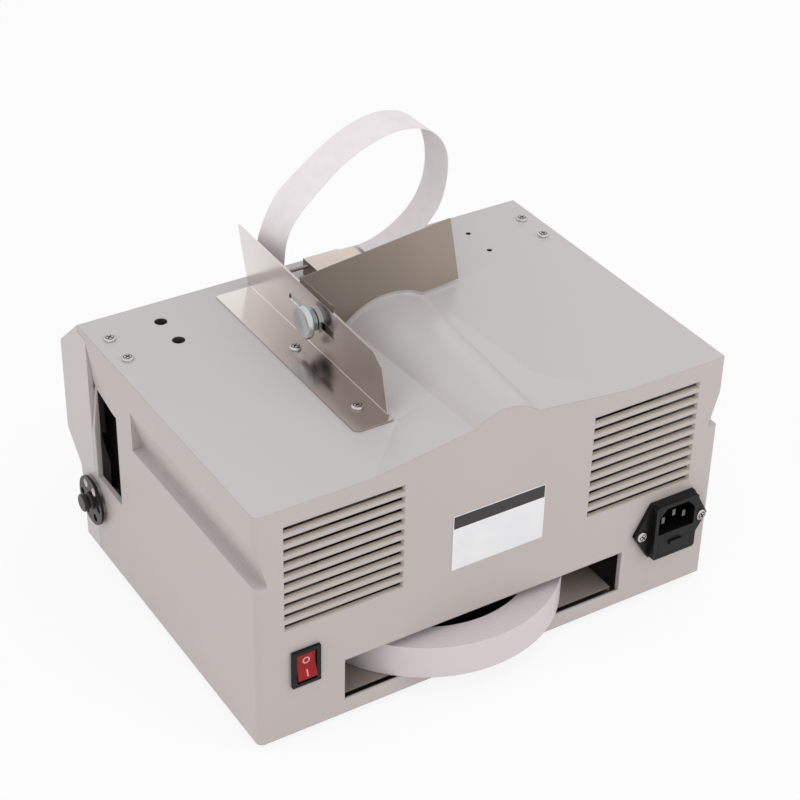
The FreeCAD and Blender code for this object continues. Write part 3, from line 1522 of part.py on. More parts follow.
CENTRE_DISTANCE = "(gear_module * (gear_teeth + pinion_teeth) / 2)"
MOTOR_Y = f"({SHAFT_Y} + {CENTRE_DISTANCE})"
GEAR_START = "(-head_plate_x + plate_thickness + bush_flange + gear_gap)"


def make_drive():
    """Geared motor on the head plate, turning the main shaft with its cam."""
    gear_end = f"({GEAR_START} + gear_width)"
    half_a_tooth = 0.5
    odd = int(SIZES["pinion_teeth"]) % 2
    gear("drive_gear", "gear_teeth", GEAR_START, gear_end, SHAFT_Y, SHAFT_Z, "shaft_radius + running_gap", 0)
    gear("motor_pinion", "pinion_teeth", GEAR_START, gear_end, MOTOR_Y, SHAFT_Z,
         "motor_shaft_radius + running_gap", half_a_tooth + half_a_tooth * odd)
    can = rod("X", MOTOR_Y, SHAFT_Z, "-head_plate_x - motor_length", "-head_plate_x", "motor_radius")
    tail = rod("X", MOTOR_Y, SHAFT_Z, "-head_plate_x - motor_length - wall", "-head_plate_x", "motor_radius / 2")
    as_node(fuse(can, tail), "drive_motor")
    spindle = rod("X", MOTOR_Y, SHAFT_Z, "-head_plate_x + running_gap", gear_end, "motor_shaft_radius")
    as_node(spindle, "motor_shaft")

    cam = new_body("press_cam")
    start = "(cam_x - cam_width / 2)"
    end = "(cam_x + cam_width / 2)"
    add(cam, "YZ", start, end, circle(SHAFT_Y, f"{SHAFT_Z} - cam_lift / 2", "cam_radius + cam_lift / 2"))
    take(cam, "YZ", f"{start} - overcut", f"{end} + overcut",
         circle(SHAFT_Y, SHAFT_Z, "shaft_radius + running_gap"))
    as_node(cam, "press_cam")


# ---------------------------------------------------------- mechanism frame

def plate_outline():
    """The outline of the upright plates, inside the nose and the toe."""
    top = f"({CEILING_H} - joint_gap)"
    return side_view([
        ("plate_rear_d", "base_thickness"),
        ("plate_rear_d", top),
        ("shell_front_d - joint_gap", top),
        ("body_depth - 3 * wall", "nose_top_h - 2 * wall"),
        ("body_depth - 3 * wall", "nose_bottom_h + 2 * wall"),
        ("toe_front_d - 2 * wall", "toe_top_h"),
        ("toe_front_d - 2 * wall", "base_thickness"),
    ])


TIE_PLACES = (
    ("plate_rear_d + 3 * tie_radius", f"{CEILING_H} - 4 * tie_radius"),
    ("body_depth - 4 * tie_radius", "nose_top_h - 7 * tie_radius"),
    ("plate_rear_d + 2 * tie_radius", "base_thickness + 3 * tie_radius"),
    ("toe_front_d - 4 * tie_radius", "base_thickness + 2 * tie_radius"),
)


def make_frame():
    """Two side plates with flanges under the deck, the head plate and four ties."""
    top = f"({CEILING_H} - joint_gap)"
    for label, mirror in (("side_plate_left", False), ("side_plate_right", True)):
        plate = new_body(label)
        low, high = "plate_x", "plate_x + plate_thickness"
        if mirror:
            low, high = "-plate_x - plate_thickness", "-plate_x"
        add(plate, "YZ", low, high, plate_outline())
        flange = mirrored(rear_view(rectangle(
            "plate_x", f"{INNER_SIDE} - scoop_depth - joint_gap", f"{top} - plate_thickness", top,
        )), mirror)
        add(plate, "XZ", back("shell_front_d - joint_gap"), back("plate_rear_d"), flange)
        sign = "-" if mirror else ""
        take(plate, "XY", up(f"{top} - plate_thickness - overcut"), up(f"{top} + overcut"), *[
            circle(f"{sign}deck_screw_x", back(distance), "screw_radius + screw_gap")
            for distance in ("deck_screw_front_d", "deck_screw_rear_d")
        ])
        if not mirror:
            take(plate, "YZ", f"{low} - overcut", f"{high} + overcut",
                 circle(SHAFT_Y, SHAFT_Z, "bush_radius + running_gap"))
        as_node(plate, label)

    head_plate = new_body("head_plate")
    low, high = "-head_plate_x", "-head_plate_x + plate_thickness"
    add(head_plate, "YZ", low, high, plate_outline())
    ties = [circle(back(d), up(h), "tie_radius + joint_gap") for d, h in TIE_PLACES]
    take(head_plate, "YZ", f"{low} - overcut", f"{high} + overcut",
         circle(SHAFT_Y, SHAFT_Z, "bush_radius + running_gap"),
         circle(MOTOR_Y, SHAFT_Z, "motor_shaft_radius + joint_gap"), *ties)
    as_node(head_plate, "head_plate")

    rods = [rod("X", back(d), up(h), "-plate_x", "plate_x", "tie_radius") for d, h in TIE_PLACES]
    as_node(group(rods), "tie_rods")

    bushes = []
    for start in ("plate_x", "-head_plate_x"):
        sleeve = rod("X", SHAFT_Y, SHAFT_Z, start, f"{start} + plate_thickness", "bush_radius")
        collar = rod(
            "X", SHAFT_Y, SHAFT_Z, f"{start} + plate_thickness", f"{start} + plate_thickness + bush_flange",
            "bush_flange_radius",
        )
        bore = rod(
            "X", SHAFT_Y, SHAFT_Z, f"{start} - overcut", f"{start} + plate_thickness + bush_flange + overcut",
            "shaft_radius + running_gap",
        )
        bushes.append(cut(fuse(sleeve, collar), bore))
    as_node(group(bushes), "shaft_bushes")


# ------------------------------------------------- press, heater and cutter

FOOT_H = "(shaft_h + cam_radius + cam_lift + seat_gap)"
PRESS_TOP_H = "(deck_h - press_drop)"
GUIDE_TOP_H = f"({PRESS_TOP_H} - cutter_height - cutter_clearance)"
GUIDE_BOTTOM_H = f"({GUIDE_TOP_H} - guide_height)"


def make_press():
    """The press slide over the cam, its guide, heater, cutter and return spring."""
    slide = new_body("press_slide")
    left = "cam_x - press_width / 2"
    right = "cam_x + press_width / 2"
    rear = "(press_d - press_thickness / 2)"
    front = "(press_d + press_thickness / 2)"
    add(slide, "XZ", back(front), back(rear), rear_view(rectangle(left, right, FOOT_H, PRESS_TOP_H)))
    add(slide, "XZ", back("shaft_d + 2 * seat_gap + cam_width"), back(rear), rear_view(rectangle(
        "cam_x - press_foot_width / 2", "cam_x + press_foot_width / 2", FOOT_H, f"{FOOT_H} + press_foot_height",
    )))
    as_node(slide, "press_slide")

    guide_front = "(shaft_d + spring_radius)"
    guide = new_body("press_guide")
    add(guide, "XY", up(GUIDE_BOTTOM_H), up(GUIDE_TOP_H), plan_view(rectangle(
        "-head_plate_x + plate_thickness", f"{right} + wall", guide_front, f"{rear} - wall",
    )))
    take(guide, "XY", up(GUIDE_BOTTOM_H + " - overcut"), up(GUIDE_TOP_H + " + overcut"), plan_view(rectangle(
        f"{left} - guide_gap", f"{right} + guide_gap", f"{front} + guide_gap", f"{rear} - guide_gap",
    )))
    as_node(guide, "press_guide")

    heater = box(
        "cam_x - heater_width / 2", "cam_x + heater_width / 2", "press_d - heater_depth / 2",
        "press_d + heater_depth / 2", PRESS_TOP_H, f"{PRESS_TOP_H} + heater_height",
    )
    as_node(heater, "heater_plate")
    blade = box(
        "cam_x - cutter_width / 2", "cam_x + cutter_width / 2", f"{rear} - cutter_thickness", rear,
        f"{PRESS_TOP_H} - cutter_height", PRESS_TOP_H,
    )
    as_node(blade, "cutter_blade")

    low = f"({FOOT_H} + press_foot_height + spring_wire + seat_gap / 2)"
    high = f"({GUIDE_BOTTOM_H} - spring_wire - seat_gap / 2)"
    pitch = value(f"({high} - {low}) / spring_turns")
    helix = Part.makeHelix(pitch, value(f"{high} - {low}"), value("spring_radius"))
    wire = value("spring_wire")
    middle = value("spring_radius")
    corners = [(-wire, -wire), (wire, -wire), (wire, wire), (-wire, wire), (-wire, -wire)]
    ring = Part.makePolygon([FreeCAD.Vector(middle + across, 0, along) for across, along in corners])
    spring = doc.addObject("Part::Feature", "Spring")
    spring.Shape = Part.Wire(helix).makePipeShell([ring], True, True)
    bind(
        spring, Placement__Base__x="cam_x", Placement__Base__z=up(low),
        Placement__Base__y=back("press_d + press_thickness / 2 + spring_radius + spring_wire + wall"),
    )
    as_node(spring, "press_spring")


# ---------------------------------------------------------------- tape feed

FEED_H = "(deck_h - feed_drop)"
FEED_Z = up(FEED_H)
PINCH_H = f"({FEED_H} + feed_radius + pinch_gap + pinch_radius)"
LEVER_PIVOT_H = f"({FEED_H} + lever_pivot_rise)"
CHEEK_BOTTOM_H = f"({FEED_H} - feed_cheek_drop)"
CHEEKS = (("feed_cheek_rear_d", "feed_cheek_rear_d + plate_thickness"),
          ("feed_cheek_front_d - plate_thickness", "feed_cheek_front_d"))


def make_feed_frame():
    """A bridge under the deck with two cheeks that carry the rollers."""
    frame = new_body("feed_frame")
    top = CEILING_H
    left = "feed_frame_left"
    right = "feed_frame_right"
    web_right = "(bracket_x + sheet)"
    add(frame, "YZ", web_right, left, side_view([
        ("feed_cheek_rear_d", f"{top} - plate_thickness"),
        ("feed_cheek_rear_d", top),
        ("feed_cheek_front_d", top),
        ("feed_cheek_front_d", f"{top} - plate_thickness"),
    ]))
    for near, far in CHEEKS:
        add(frame, "XZ", back(far), back(near), rear_view([
            (right, top),
            (right, f"{top} - chute_radius"),
            ("chute_x", CHEEK_BOTTOM_H),
            (left, CHEEK_BOTTOM_H),
            (left, top),
        ]))
    take(frame, "XZ", back("feed_cheek_front_d + overcut"), back("feed_cheek_rear_d - overcut"),
         circle("feed_x", FEED_Z, "feed_shaft_radius + running_gap"),
         circle("lever_pivot_x", up(LEVER_PIVOT_H), "pinch_axle_radius + running_gap"))
    as_node(frame, "feed_frame")


def make_feed():
    """Feed motor, feed roller on its shaft, and the sprung pinch roller over it."""
    rear = "feed_cheek_rear_d"
    front = "feed_cheek_front_d"
    inner_rear = f"({rear} + plate_thickness + joint_gap)"
    inner_front = f"({front} - plate_thickness - joint_gap)"
    motor = rod("Y", "feed_x", FEED_Z, back(rear), back(f"{rear} - feed_motor_length"), "feed_motor_radius")
    as_node(motor, "feed_motor")
    shaft = rod("Y", "feed_x", FEED_Z, back(f"{front} + overcut"), back(f"{rear} + running_gap"), "feed_shaft_radius")
    as_node(shaft, "feed_shaft")
    roller = new_body("feed_roller")
    add(roller, "XZ", back(inner_front), back(inner_rear),
        circle("feed_x", FEED_Z, "feed_radius"),
        circle("feed_x", FEED_Z, "feed_shaft_radius + running_gap"))
    as_node(roller, "feed_roller")

    lever_front = f"({front} - plate_thickness - joint_gap)"
    lever_rear = f"({lever_front} - lever_thickness)"
    pivot_z = up(LEVER_PIVOT_H)
    pinch_z = up(PINCH_H)
    lever = new_body("pinch_lever")
    span = f"sqrt(pow(lever_pivot_x - feed_x; 2) + pow({LEVER_PIVOT_H} - {PINCH_H}; 2))"
    half = "lever_half_width"
    add(lever, "XZ", "0", "lever_thickness", [
        ("0", f"-{half}"),
        (span, f"-{half}", half),
        (span, half),
        ("0", half, half),
    ])
    axle_end = f"{inner_front} - {inner_rear} - overcut"
    add(lever, "XZ", "lever_thickness - overcut", axle_end, circle(span, "0", "pinch_axle_radius"))
    add(lever, "XZ", "-plate_thickness - joint_gap", "lever_thickness / 2", circle("0", "0", "pinch_axle_radius"))
    lever.Placement.Rotation = FreeCAD.Rotation(FreeCAD.Vector(0, 1, 0), 170)
    bind(
        lever, Placement__Rotation__Angle=f"180 deg - atan(({LEVER_PIVOT_H} - {PINCH_H}) / (lever_pivot_x - feed_x))",
        Placement__Base__x="lever_pivot_x", Placement__Base__y=back(lever_front), Placement__Base__z=pivot_z,
    )
    as_node(lever, "pinch_lever")

    pinch = new_body("pinch_roller")
    add(pinch, "XZ", back(f"{lever_rear} - joint_gap"), back(f"{inner_rear} + 2 * overcut"),
        circle("feed_x", pinch_z, "pinch_radius"),
        circle("feed_x", pinch_z, "pinch_axle_radius + running_gap"))
    as_node(pinch, "pinch_roller")


def make_chute():
    """The curved guide that turns the tape up to the slot in the deck."""
    chute = new_body("tape_chute")
    rear = "(feed_cheek_rear_d + plate_thickness)"
    front = "(feed_cheek_front_d - plate_thickness)"
    level = f"({FEED_H} + feed_radius - chute_thickness)"
    radius = "(chute_radius + chute_thickness)"
    outer = f"({radius} + chute_thickness)"
    add(chute, "XZ", back(front), back(rear), rear_view([
        ("chute_x", f"{level} - chute_thickness"),
        ("chute_x", level, f"-{radius}"),
        (f"chute_x - {radius}", f"{level} + {radius}"),
        (f"chute_x - {outer}", f"{level} + {radius}", outer),
    ]))
    as_node(chute, "tape_chute")


# -------------------------------------------------------------- electronics

def make_electronics():
    """Mains transformer on the base plate and the control board on its standoffs."""
    left = "-transformer_x - transformer_width / 2"
    right = "-transformer_x + transformer_width / 2"
    rear = "transformer_d - transformer_depth / 2"
    front = "transformer_d + transformer_depth / 2"
    core = box(left, right, rear, front, "base_thickness", "base_thickness + transformer_height")
    coil = box(
        f"{left} - coil_overhang", f"{right} + coil_overhang", f"{rear} + coil_overhang", f"{front} - coil_overhang",
        "base_thickness + coil_overhang", "base_thickness + transformer_height - coil_overhang",
    )
    as_node(fuse(core, coil), "transformer")

    wall_x = f"(-{INNER_SIDE})"
    face = f"({wall_x} + standoff_length)"
    board = box(
        face, f"{face} + board_thickness", "board_rear_d", "board_rear_d + board_length",
        "board_bottom_h", f"{CEILING_H} - board_top_gap",
    )
    pillars = [
        rod("X", back(d), up(h), wall_x, f"{face} + overcut / 2", "standoff_radius")
        for d in ("board_rear_d + 2 * standoff_radius", "board_rear_d + board_length - 2 * standoff_radius")
        for h in ("board_bottom_h + 2 * standoff_radius", "grip_bottom_h - wall - 2 * standoff_radius")
    ]
    as_node(fuse(board, *pillars), "control_board")


# -------------------------------------------------------------------- build

def check_document():
    """Stops if any object failed or any piece has no sound shape."""
    for item in doc.Objects:
        if "Invalid" in item.State or "Error" in item.State:
            raise RuntimeError(f"{item.Label}: {item.State}")
    for piece in nodes:
        if piece.Shape.isNull() or not piece.Shape.isValid() or not piece.Shape.Solids:
            raise RuntimeError(f"{piece.Label} has no sound solid")


def main():
    """Builds every piece and writes each to its own file."""
    make_top_shell()
    make_front_bezel()
    make_panel_parts()
    make_base()
    make_deck_screws()
    make_rating_label()
    make_switch()
    make_inlet()
    make_guide_bracket()
    make_stop()
    make_thumb_screw()
    make_head()
    make_band()
    make_roll()
    make_tray()
    make_hand_wheel()
    make_drive()
    make_frame()
    make_press()
    make_feed_frame()
    make_feed()
    make_chute()
    make_electronics()
    doc.recompute()
    check_document()
    os.makedirs("parts", exist_ok=True)
    for piece in nodes:
        piece.Shape.exportStep(os.path.join("parts", piece.Label + ".step"))
        print(f"{piece.Label}: {len(piece.Shape.Solids)} solid(s), {piece.Shape.Volume:.0f} mm3")
    print(len(nodes), "nodes")


main()
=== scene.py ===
"""Looks of the banknote strapping machine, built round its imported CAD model."""

import math

import bmesh
import bpy
from mathutils import Matrix, Vector
from mathutils.bvhtree import BVHTree


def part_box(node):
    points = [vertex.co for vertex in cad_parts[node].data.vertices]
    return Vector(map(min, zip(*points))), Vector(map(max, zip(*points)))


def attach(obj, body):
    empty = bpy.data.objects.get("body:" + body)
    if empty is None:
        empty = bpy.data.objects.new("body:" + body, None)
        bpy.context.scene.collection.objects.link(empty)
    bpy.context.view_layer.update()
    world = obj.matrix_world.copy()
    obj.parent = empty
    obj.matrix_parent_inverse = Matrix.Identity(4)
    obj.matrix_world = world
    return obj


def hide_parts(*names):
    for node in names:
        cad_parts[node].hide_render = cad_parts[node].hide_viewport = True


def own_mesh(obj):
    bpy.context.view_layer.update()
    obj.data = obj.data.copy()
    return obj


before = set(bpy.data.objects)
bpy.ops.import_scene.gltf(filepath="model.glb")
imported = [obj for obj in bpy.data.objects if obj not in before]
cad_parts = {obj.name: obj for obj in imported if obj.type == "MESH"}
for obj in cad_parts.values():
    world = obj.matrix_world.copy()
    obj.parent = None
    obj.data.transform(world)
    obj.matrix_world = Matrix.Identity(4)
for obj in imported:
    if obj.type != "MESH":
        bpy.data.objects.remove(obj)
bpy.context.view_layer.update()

MM = 0.001
MICRON = 0.000001
X, Y, Z = range(3)

# The camera that fits the housing's corners: metres, degrees, and mm of lens and sensor.
CAMERA_PLACE = (0.48827, 0.78243, 0.72296)
CAMERA_AZIMUTH = 32.459
CAMERA_ELEVATION = 33.944
CAMERA_ROLL = 1.343
CAMERA_LENS = 92.1
SENSOR_WIDTH = 36.0

# Soft lamps, each with its place, size and watts. All of them point at one place on the machine.
LAMP_TARGET = (0, 0, 0.08)
LAMPS = {
    "rear_lamp": ((-1.35, 1.65, 0.9), (2.2, 1.6), 17),
    "left_lamp": ((1.9, 0.7, 0.9), (2.2, 1.6), 13.5),
    "top_lamp": ((0.1, 0.2, 2.1), (2.4, 2.4), 13.5),
}

# Strength of the world's light on the object. Where it is seen itself, it is white.
WORLD_LIGHT = 0.62

# The floor: its reach, the tone of its plain share, and the share that shows as pure white.
FLOOR_REACH = 8.0
FLOOR_TONE = 0.86
FLOOR_ROUGHNESS = 0.9
FLOOR_WHITE_SHARE = 0.86

# Noise keeps mostly to this stretch of its 0 to 1.
NOISE_LOW = 0.3
NOISE_HIGH = 0.7

# A face is steep where the upright part of its normal is under this.
STEEP = 0.5

BEVEL_SAMPLES = 4

# Boxes, by two corners, in which the housing shows painted shade on its inside, painted light on its
# louvres' blades and painted shade in its deck's bores.
INNER_SHADE_ZONE = ((-0.1369, -0.12, 0.0), (0.1369, -0.03, 0.1439))
LOUVRE_LIGHT_ZONE = ((-0.13, 0.09, 0.055), (0.13, 0.1108, 0.14))
BORE_SHADE_ZONE = ((-0.13, -0.08, 0.1435), (0.13, -0.03, 0.1468))

# What the deck's roughness lacks against that of the walls.
DECK_POLISH = 0.05

# The stretch along Y over which the bracket's painted reflection goes from light to dark.
REFLECTION_FADE_FROM_TO = (-70 * MM, 30 * MM)

# Waves of the wound roll's rings, in radians per metre, and the share of each.
PAPER_RINGS = ((7000.0, 0.25), (2300.0, 0.1))

# The bare label's dark band and pale edge, and the caps of the fuse.
LABEL_BAND = 8 * MM
LABEL_EDGE = 0.35 * MM
FUSE_CAP = 5 * MM

# Waves of the transformer's sheets, in radians per metre.
SHEET_WAVES = 9000.0

# Holes of the hand wheel, on their circle. Those this far above the shaft's axis take a painted bright
# highlight in and round them.
WHEEL_HOLES = 6
WHEEL_HOLE_RADIUS = 2.3 * MM
WHEEL_HOLE_CIRCLE = 10.2 * MM
HIGHLIGHT_RIM = 0.12 * MM
HIGHLIGHTS_ABOVE = 4.0 * MM

# Pan-head screws, with the dome's outline in shares of the head's radius and height.
SCREW_HEAD_HEIGHT = 1.8 * MM
SCREW_SHANK_RADIUS = 1.5 * MM
SCREW_HEAD_OUTLINE = (
    (0, 0), (0.96, 0), (1, 0.08), (1, 0.42), (0.93, 0.66), (0.78, 0.84), (0.55, 0.95), (0.28, 1), (0, 1),
)
SCREW_HEAD_STEPS = 40
SCREW_SHANK_STEPS = 16

# Their cross recess: its arms at the mouth in shares of the head's radius, its depth in shares of the
# head's height. The driver that cuts it tapers: its arms' length at the bottom of the recess, and at the
# same height over the mouth, against that at the mouth. Their width takes only a part of that taper.
CROSS_HALF_LENGTH = 0.62
CROSS_HALF_WIDTH = 0.13
CROSS_DEPTH = 0.7
CROSS_TAPER = (0.55, 1.45)
CROSS_WIDTH_TAPER = 0.2

# Faces of the recess, in the same shares: between two levels, and within a reach of the axis.
RECESS_LEVELS = (0.01, 0.9)
RECESS_REACH = 0.75

# Turn of a group's first recess, and of each next one on from it, in radians.
FIRST_TURN = 0.7
NEXT_TURN = 1.3

# Points of a carried mesh that are nearer than this are one.
WELD_DISTANCE = 1 * MICRON

# The thumb screw's head, collar and shank.
THUMB_HEAD = 3.4 * MM
THUMB_COLLAR = 3.6 * MM
THUMB_RADIUS = 9.0 * MM
THUMB_COLLAR_RADIUS = 6.0 * MM
THUMB_SHANK_RADIUS = 2.0 * MM
THUMB_KNURLS = 72
THUMB_KNURL_DEPTH = 0.18 * MM

# Its head's edges, below and above: steps inwards from the rim and away from the face, in chamfers.
THUMB_CHAMFER = 0.5 * MM
THUMB_EDGE_BELOW = ((1.4, 0), (0, 1))
THUMB_EDGE_ABOVE = ((0, 1.6), (1.5, 0), (3.5, 0), (4.1, 0.3))

# One ridge of its collar: share of the ridge's length, and 1 in the groove or 0 on the crest.
THUMB_RIDGES = 3
THUMB_GROOVE = 0.9 * MM
THUMB_RIDGE = ((0.1, 1), (0.4, 0), (0.65, 0), (0.95, 1))

# The guide bracket's bend: its inner corner, its bend radius as drawn, the share that is left of it,
# and how far off the bend's own points may lie.
BEND_CORNER = (0.042, 0.1482)
BEND_RADIUS = 1.8 * MM
BEND_SHARE = 0.3
BEND_MARGIN = 0.01 * MM

# The off and on marks of the switch: places on the rocker, sizes and steps.
OFF_MARK_Z = 50.5 * MM
OFF_MARK_RADIUS = 2.1 * MM
OFF_MARK_STEPS = 36
ON_MARK_Z = 43.2 * MM
ON_MARK_LENGTH = 3.8 * MM
ON_MARK_STEPS = 8
MARK_STROKE = 0.8 * MM
MARK_LIFT = 0.05 * MM
MARK_RAY_START = 10 * MM

# Edges stay sharp where their faces turn by more than this, in degrees: mostly, and on turned metal.
CREASE = 35
TURNED_CREASE = 50


# ------------------------------------------------------------------ materials

def srgb(red, green, blue):
    """Screen values from 0 to 255 as the linear colour that a shader takes."""
    def linear(channel):
        share = channel / 255
        return share / 12.92 if share <= 0.04045 else ((share + 0.055) / 1.055) ** 2.4
    return (linear(red), linear(green), linear(blue))


class Shader:
    """A Principled material with a few helpers for its procedural detail.

    Colours are screen values from 0 to 255. A noise's scale is about its features per metre.
    """

    def __init__(self, name, roughness=0.5, metallic=0.0, **sockets):
        self.material = bpy.data.materials.new(name)
        self.material.use_nodes = True
        self.nodes = self.material.node_tree.nodes
        self.links = self.material.node_tree.links
        self.principled = self.nodes["Principled BSDF"]
        self.principled.inputs["Roughness"].default_value = roughness
        self.principled.inputs["Metallic"].default_value = metallic
        for socket, value in sockets.items():
            self.principled.inputs[socket.replace("_", " ")].default_value = value
        self.place = self.nodes.new("ShaderNodeTexCoord").outputs["Object"]

    def math(self, operation, first, second=None, clamp=False):
        """One step of arithmetic on sockets and plain numbers."""
        node = self.nodes.new("ShaderNodeMath")
        node.operation = operation
        node.use_clamp = clamp
        for socket, value in zip(node.inputs, (first, second)):
            if isinstance(value, (int, float)):
                socket.default_value = value
            elif value is not None:
                self.links.new(value, socket)
        return node.outputs[0]

    def length(self, first, second):
        """Length of a flat vector with these two parts."""
        squares = [self.math("MULTIPLY", part, part) for part in (first, second)]
        return self.math("SQRT", self.math("ADD", *squares))

    def noise(self, scale, detail=3.0, stretch=(1, 1, 1)):
        """Noise fixed to the object, which streaks along an axis with a small stretch."""
        mapping = self.nodes.new("ShaderNodeMapping")
        mapping.inputs["Scale"].default_value = stretch
        self.links.new(self.place, mapping.inputs["Vector"])
        node = self.nodes.new("ShaderNodeTexNoise")
        node.inputs["Scale"].default_value = scale
        node.inputs["Detail"].default_value = detail
        self.links.new(mapping.outputs[0], node.inputs["Vector"])
        return node.outputs["Fac"]

    def ranged(self, fac, low, high, start=NOISE_LOW, end=NOISE_HIGH):
        """From low to high as the value goes from start to end."""
        node = self.nodes.new("ShaderNodeMapRange")
        self.links.new(fac, node.inputs["Value"])
        for socket, value in (("From Min", start), ("From Max", end), ("To Min", low), ("To Max", high)):
            node.inputs[socket].default_value = value
        return node.outputs[0]

    def blend(self, fac, first, second):
        """From the first colour or socket to the second."""
        node = self.nodes.new("ShaderNodeMix")
        node.data_type = "RGBA"
        self.links.new(fac, node.inputs["Factor"])
        for socket, value in ((node.inputs[6], first), (node.inputs[7], second)):
            if isinstance(value, tuple):
                socket.default_value = (*srgb(*value), 1.0)
            else:
                self.links.new(value, socket)
        return node.outputs[2]

    def along(self, axis):
        """The place along an axis."""
        node = self.nodes.new("ShaderNodeSeparateXYZ")
        self.links.new(self.place, node.inputs[0])
        return node.outputs[axis]

    def normal(self, axis):
        """The part of the surface's normal along an axis."""
        geometry = self.nodes.new("ShaderNodeNewGeometry")
        node = self.nodes.new("ShaderNodeSeparateXYZ")
        self.links.new(geometry.outputs["Normal"], node.inputs[0])
        return node.outputs[axis]

    def facing(self, axis, start, end):
        """0 to 1 as the normal's part along an axis goes from start to end."""
        return self.ranged(self.normal(axis), 0, 1, start, end)

    def within(self, zone, steep=False):
        """1 inside a box given by its two corners, on steep faces alone if asked, and 0 elsewhere."""
        inside = 1.0
        for axis, low, high in zip((X, Y, Z), *zone):
            place = self.along(axis)
            inside = self.math("MULTIPLY", self.math("GREATER_THAN", place, low), inside)
            inside = self.math("MULTIPLY", self.math("LESS_THAN", place, high), inside)
        if steep:
            slope = self.math("ABSOLUTE", self.normal(Z))
            inside = self.math("MULTIPLY", self.math("LESS_THAN", slope, STEEP), inside)
        return inside

    def drift(self, first, second, scale):
        """A slow drift between two near colours."""
        return self.blend(self.ranged(self.noise(scale), 0, 1), first, second)

    def colour(self, value):
        """Takes a socket as the base colour."""
        self.links.new(value, self.principled.inputs["Base Color"])

    def mottle(self, first, second, scale):
        """A base colour that drifts between two near ones."""
        self.colour(self.drift(first, second, scale))

    def rough(self, fac, low, high):
        """Roughness between two values, as the noise goes."""
        self.links.new(self.ranged(fac, low, high), self.principled.inputs["Roughness"])

    def bump(self, height, depth, edge_radius=0.0):
        """Surface relief of so many metres, over edges that are slightly rounded."""
        node = self.nodes.new("ShaderNodeBump")
        node.inputs["Distance"].default_value = depth
        self.links.new(height, node.inputs["Height"])
        if edge_radius:
            bevel = self.nodes.new("ShaderNodeBevel")
            bevel.samples = BEVEL_SAMPLES
            bevel.inputs["Radius"].default_value = edge_radius
            self.links.new(bevel.outputs[0], node.inputs["Normal"])
        self.links.new(node.outputs[0], self.principled.inputs["Normal"])


def housing_plastic(name, first, second, painted_inner_shade):
    """Moulded light grey plastic: satin walls and a smoother deck. Faces that look up take a lighter,
    cooler tone, which is painted top light over the deck's own cooler grey. The louvres' blades take
    painted light, and if asked, the inside and the deck's bores take painted shade.
    """
    shader = Shader(name, roughness=0.4, Specular_IOR_Level=0.85)
    up = shader.facing(Z, 0.6, 0.95)
    walls = shader.drift(first, second, 6)
    # Painted top light: faces that look up take a lighter tone than the walls, over the deck's own
    # cooler grey.
    deck = shader.drift((188, 183, 183), (184, 180, 178), 5)
    # Painted light: the louvres' blades are lighter than the walls, against the shade of the blades
    # above them.
    blade_light = shader.drift((222, 210, 198), (214, 202, 190), 60)
    outer = shader.blend(shader.within(LOUVRE_LIGHT_ZONE), shader.blend(up, walls, deck), blade_light)
    if painted_inner_shade:
        # Painted shade: the housing's inside faces are near black, standing in for the dark seen through
        # its openings.
        inner = shader.drift((38, 31, 30), (32, 26, 25), 40)
        # Painted shade on the steep walls of the deck's bores.
        bores = shader.drift((74, 65, 61), (62, 54, 51), 300)
        outer = shader.blend(shader.within(INNER_SHADE_ZONE), outer, inner)
        outer = shader.blend(shader.within(BORE_SHADE_ZONE, steep=True), outer, bores)
    shader.colour(outer)
    grain = shader.ranged(shader.noise(700), 0.35, 0.4)
    smoother = shader.math("MULTIPLY", up, -DECK_POLISH)
    shader.links.new(shader.math("ADD", grain, smoother), shader.principled.inputs["Roughness"])
    shader.bump(shader.noise(1400, 1), 1.5 * MICRON, 0.9 * MM)
    return shader.material


def stainless():
    """Polished stainless sheet with a faint upright grain and a painted reflection, light at the front
    and darker towards the rear.
    """
    shader = Shader("stainless", roughness=0.12, metallic=1.0)
    # Painted reflection: the base colour is light at the front and dark towards the rear.
    rear = shader.ranged(shader.along(Y), 0, 1, *REFLECTION_FADE_FROM_TO)
    front_reflection_tone = shader.drift((232, 226, 223), (224, 217, 214), 18)
    rear_reflection_tone = shader.drift((182, 172, 167), (174, 164, 159), 18)
    shader.colour(shader.blend(rear, front_reflection_tone, rear_reflection_tone))
    shader.rough(shader.noise(40, 2, (1, 0.3, 1)), 0.14, 0.24)
    shader.bump(shader.noise(60, 2, (1, 0.2, 1)), 6 * MICRON, 0.2 * MM)
    return shader.material


def brushed_stop():
    """Satin sheet of the sliding stop, whose brownish darkness is painted reflection and shade, darkest
    towards its slotted foot.
    """
    shader = Shader("brushed_stop", roughness=0.42, metallic=1.0)
    low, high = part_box("stop_plate")
    # Painted reflection and shade: dark at one end across X, lighter at the other.
    far = shader.ranged(shader.along(X), 0, 1, high.x, low.x)
    dark = shader.drift((124, 113, 105), (118, 108, 100), 14)
    light = shader.drift((170, 157, 147), (164, 152, 142), 14)
    shader.colour(shader.blend(far, dark, light))
    shader.rough(shader.noise(30, 2), 0.38, 0.46)
    shader.bump(shader.noise(400, 2, (0.1, 1, 1)), 2 * MICRON, 0.3 * MM)
    return shader.material


def zinc():
    """Blue zinc plate over turned steel."""
    shader = Shader("zinc", roughness=0.2, metallic=1.0)
    shader.mottle((206, 208, 209), (192, 198, 201), 120)
    shader.rough(shader.noise(300), 0.15, 0.26)
    shader.bump(shader.noise(900, 2), 4 * MICRON, 0.2 * MM)
    return shader.material


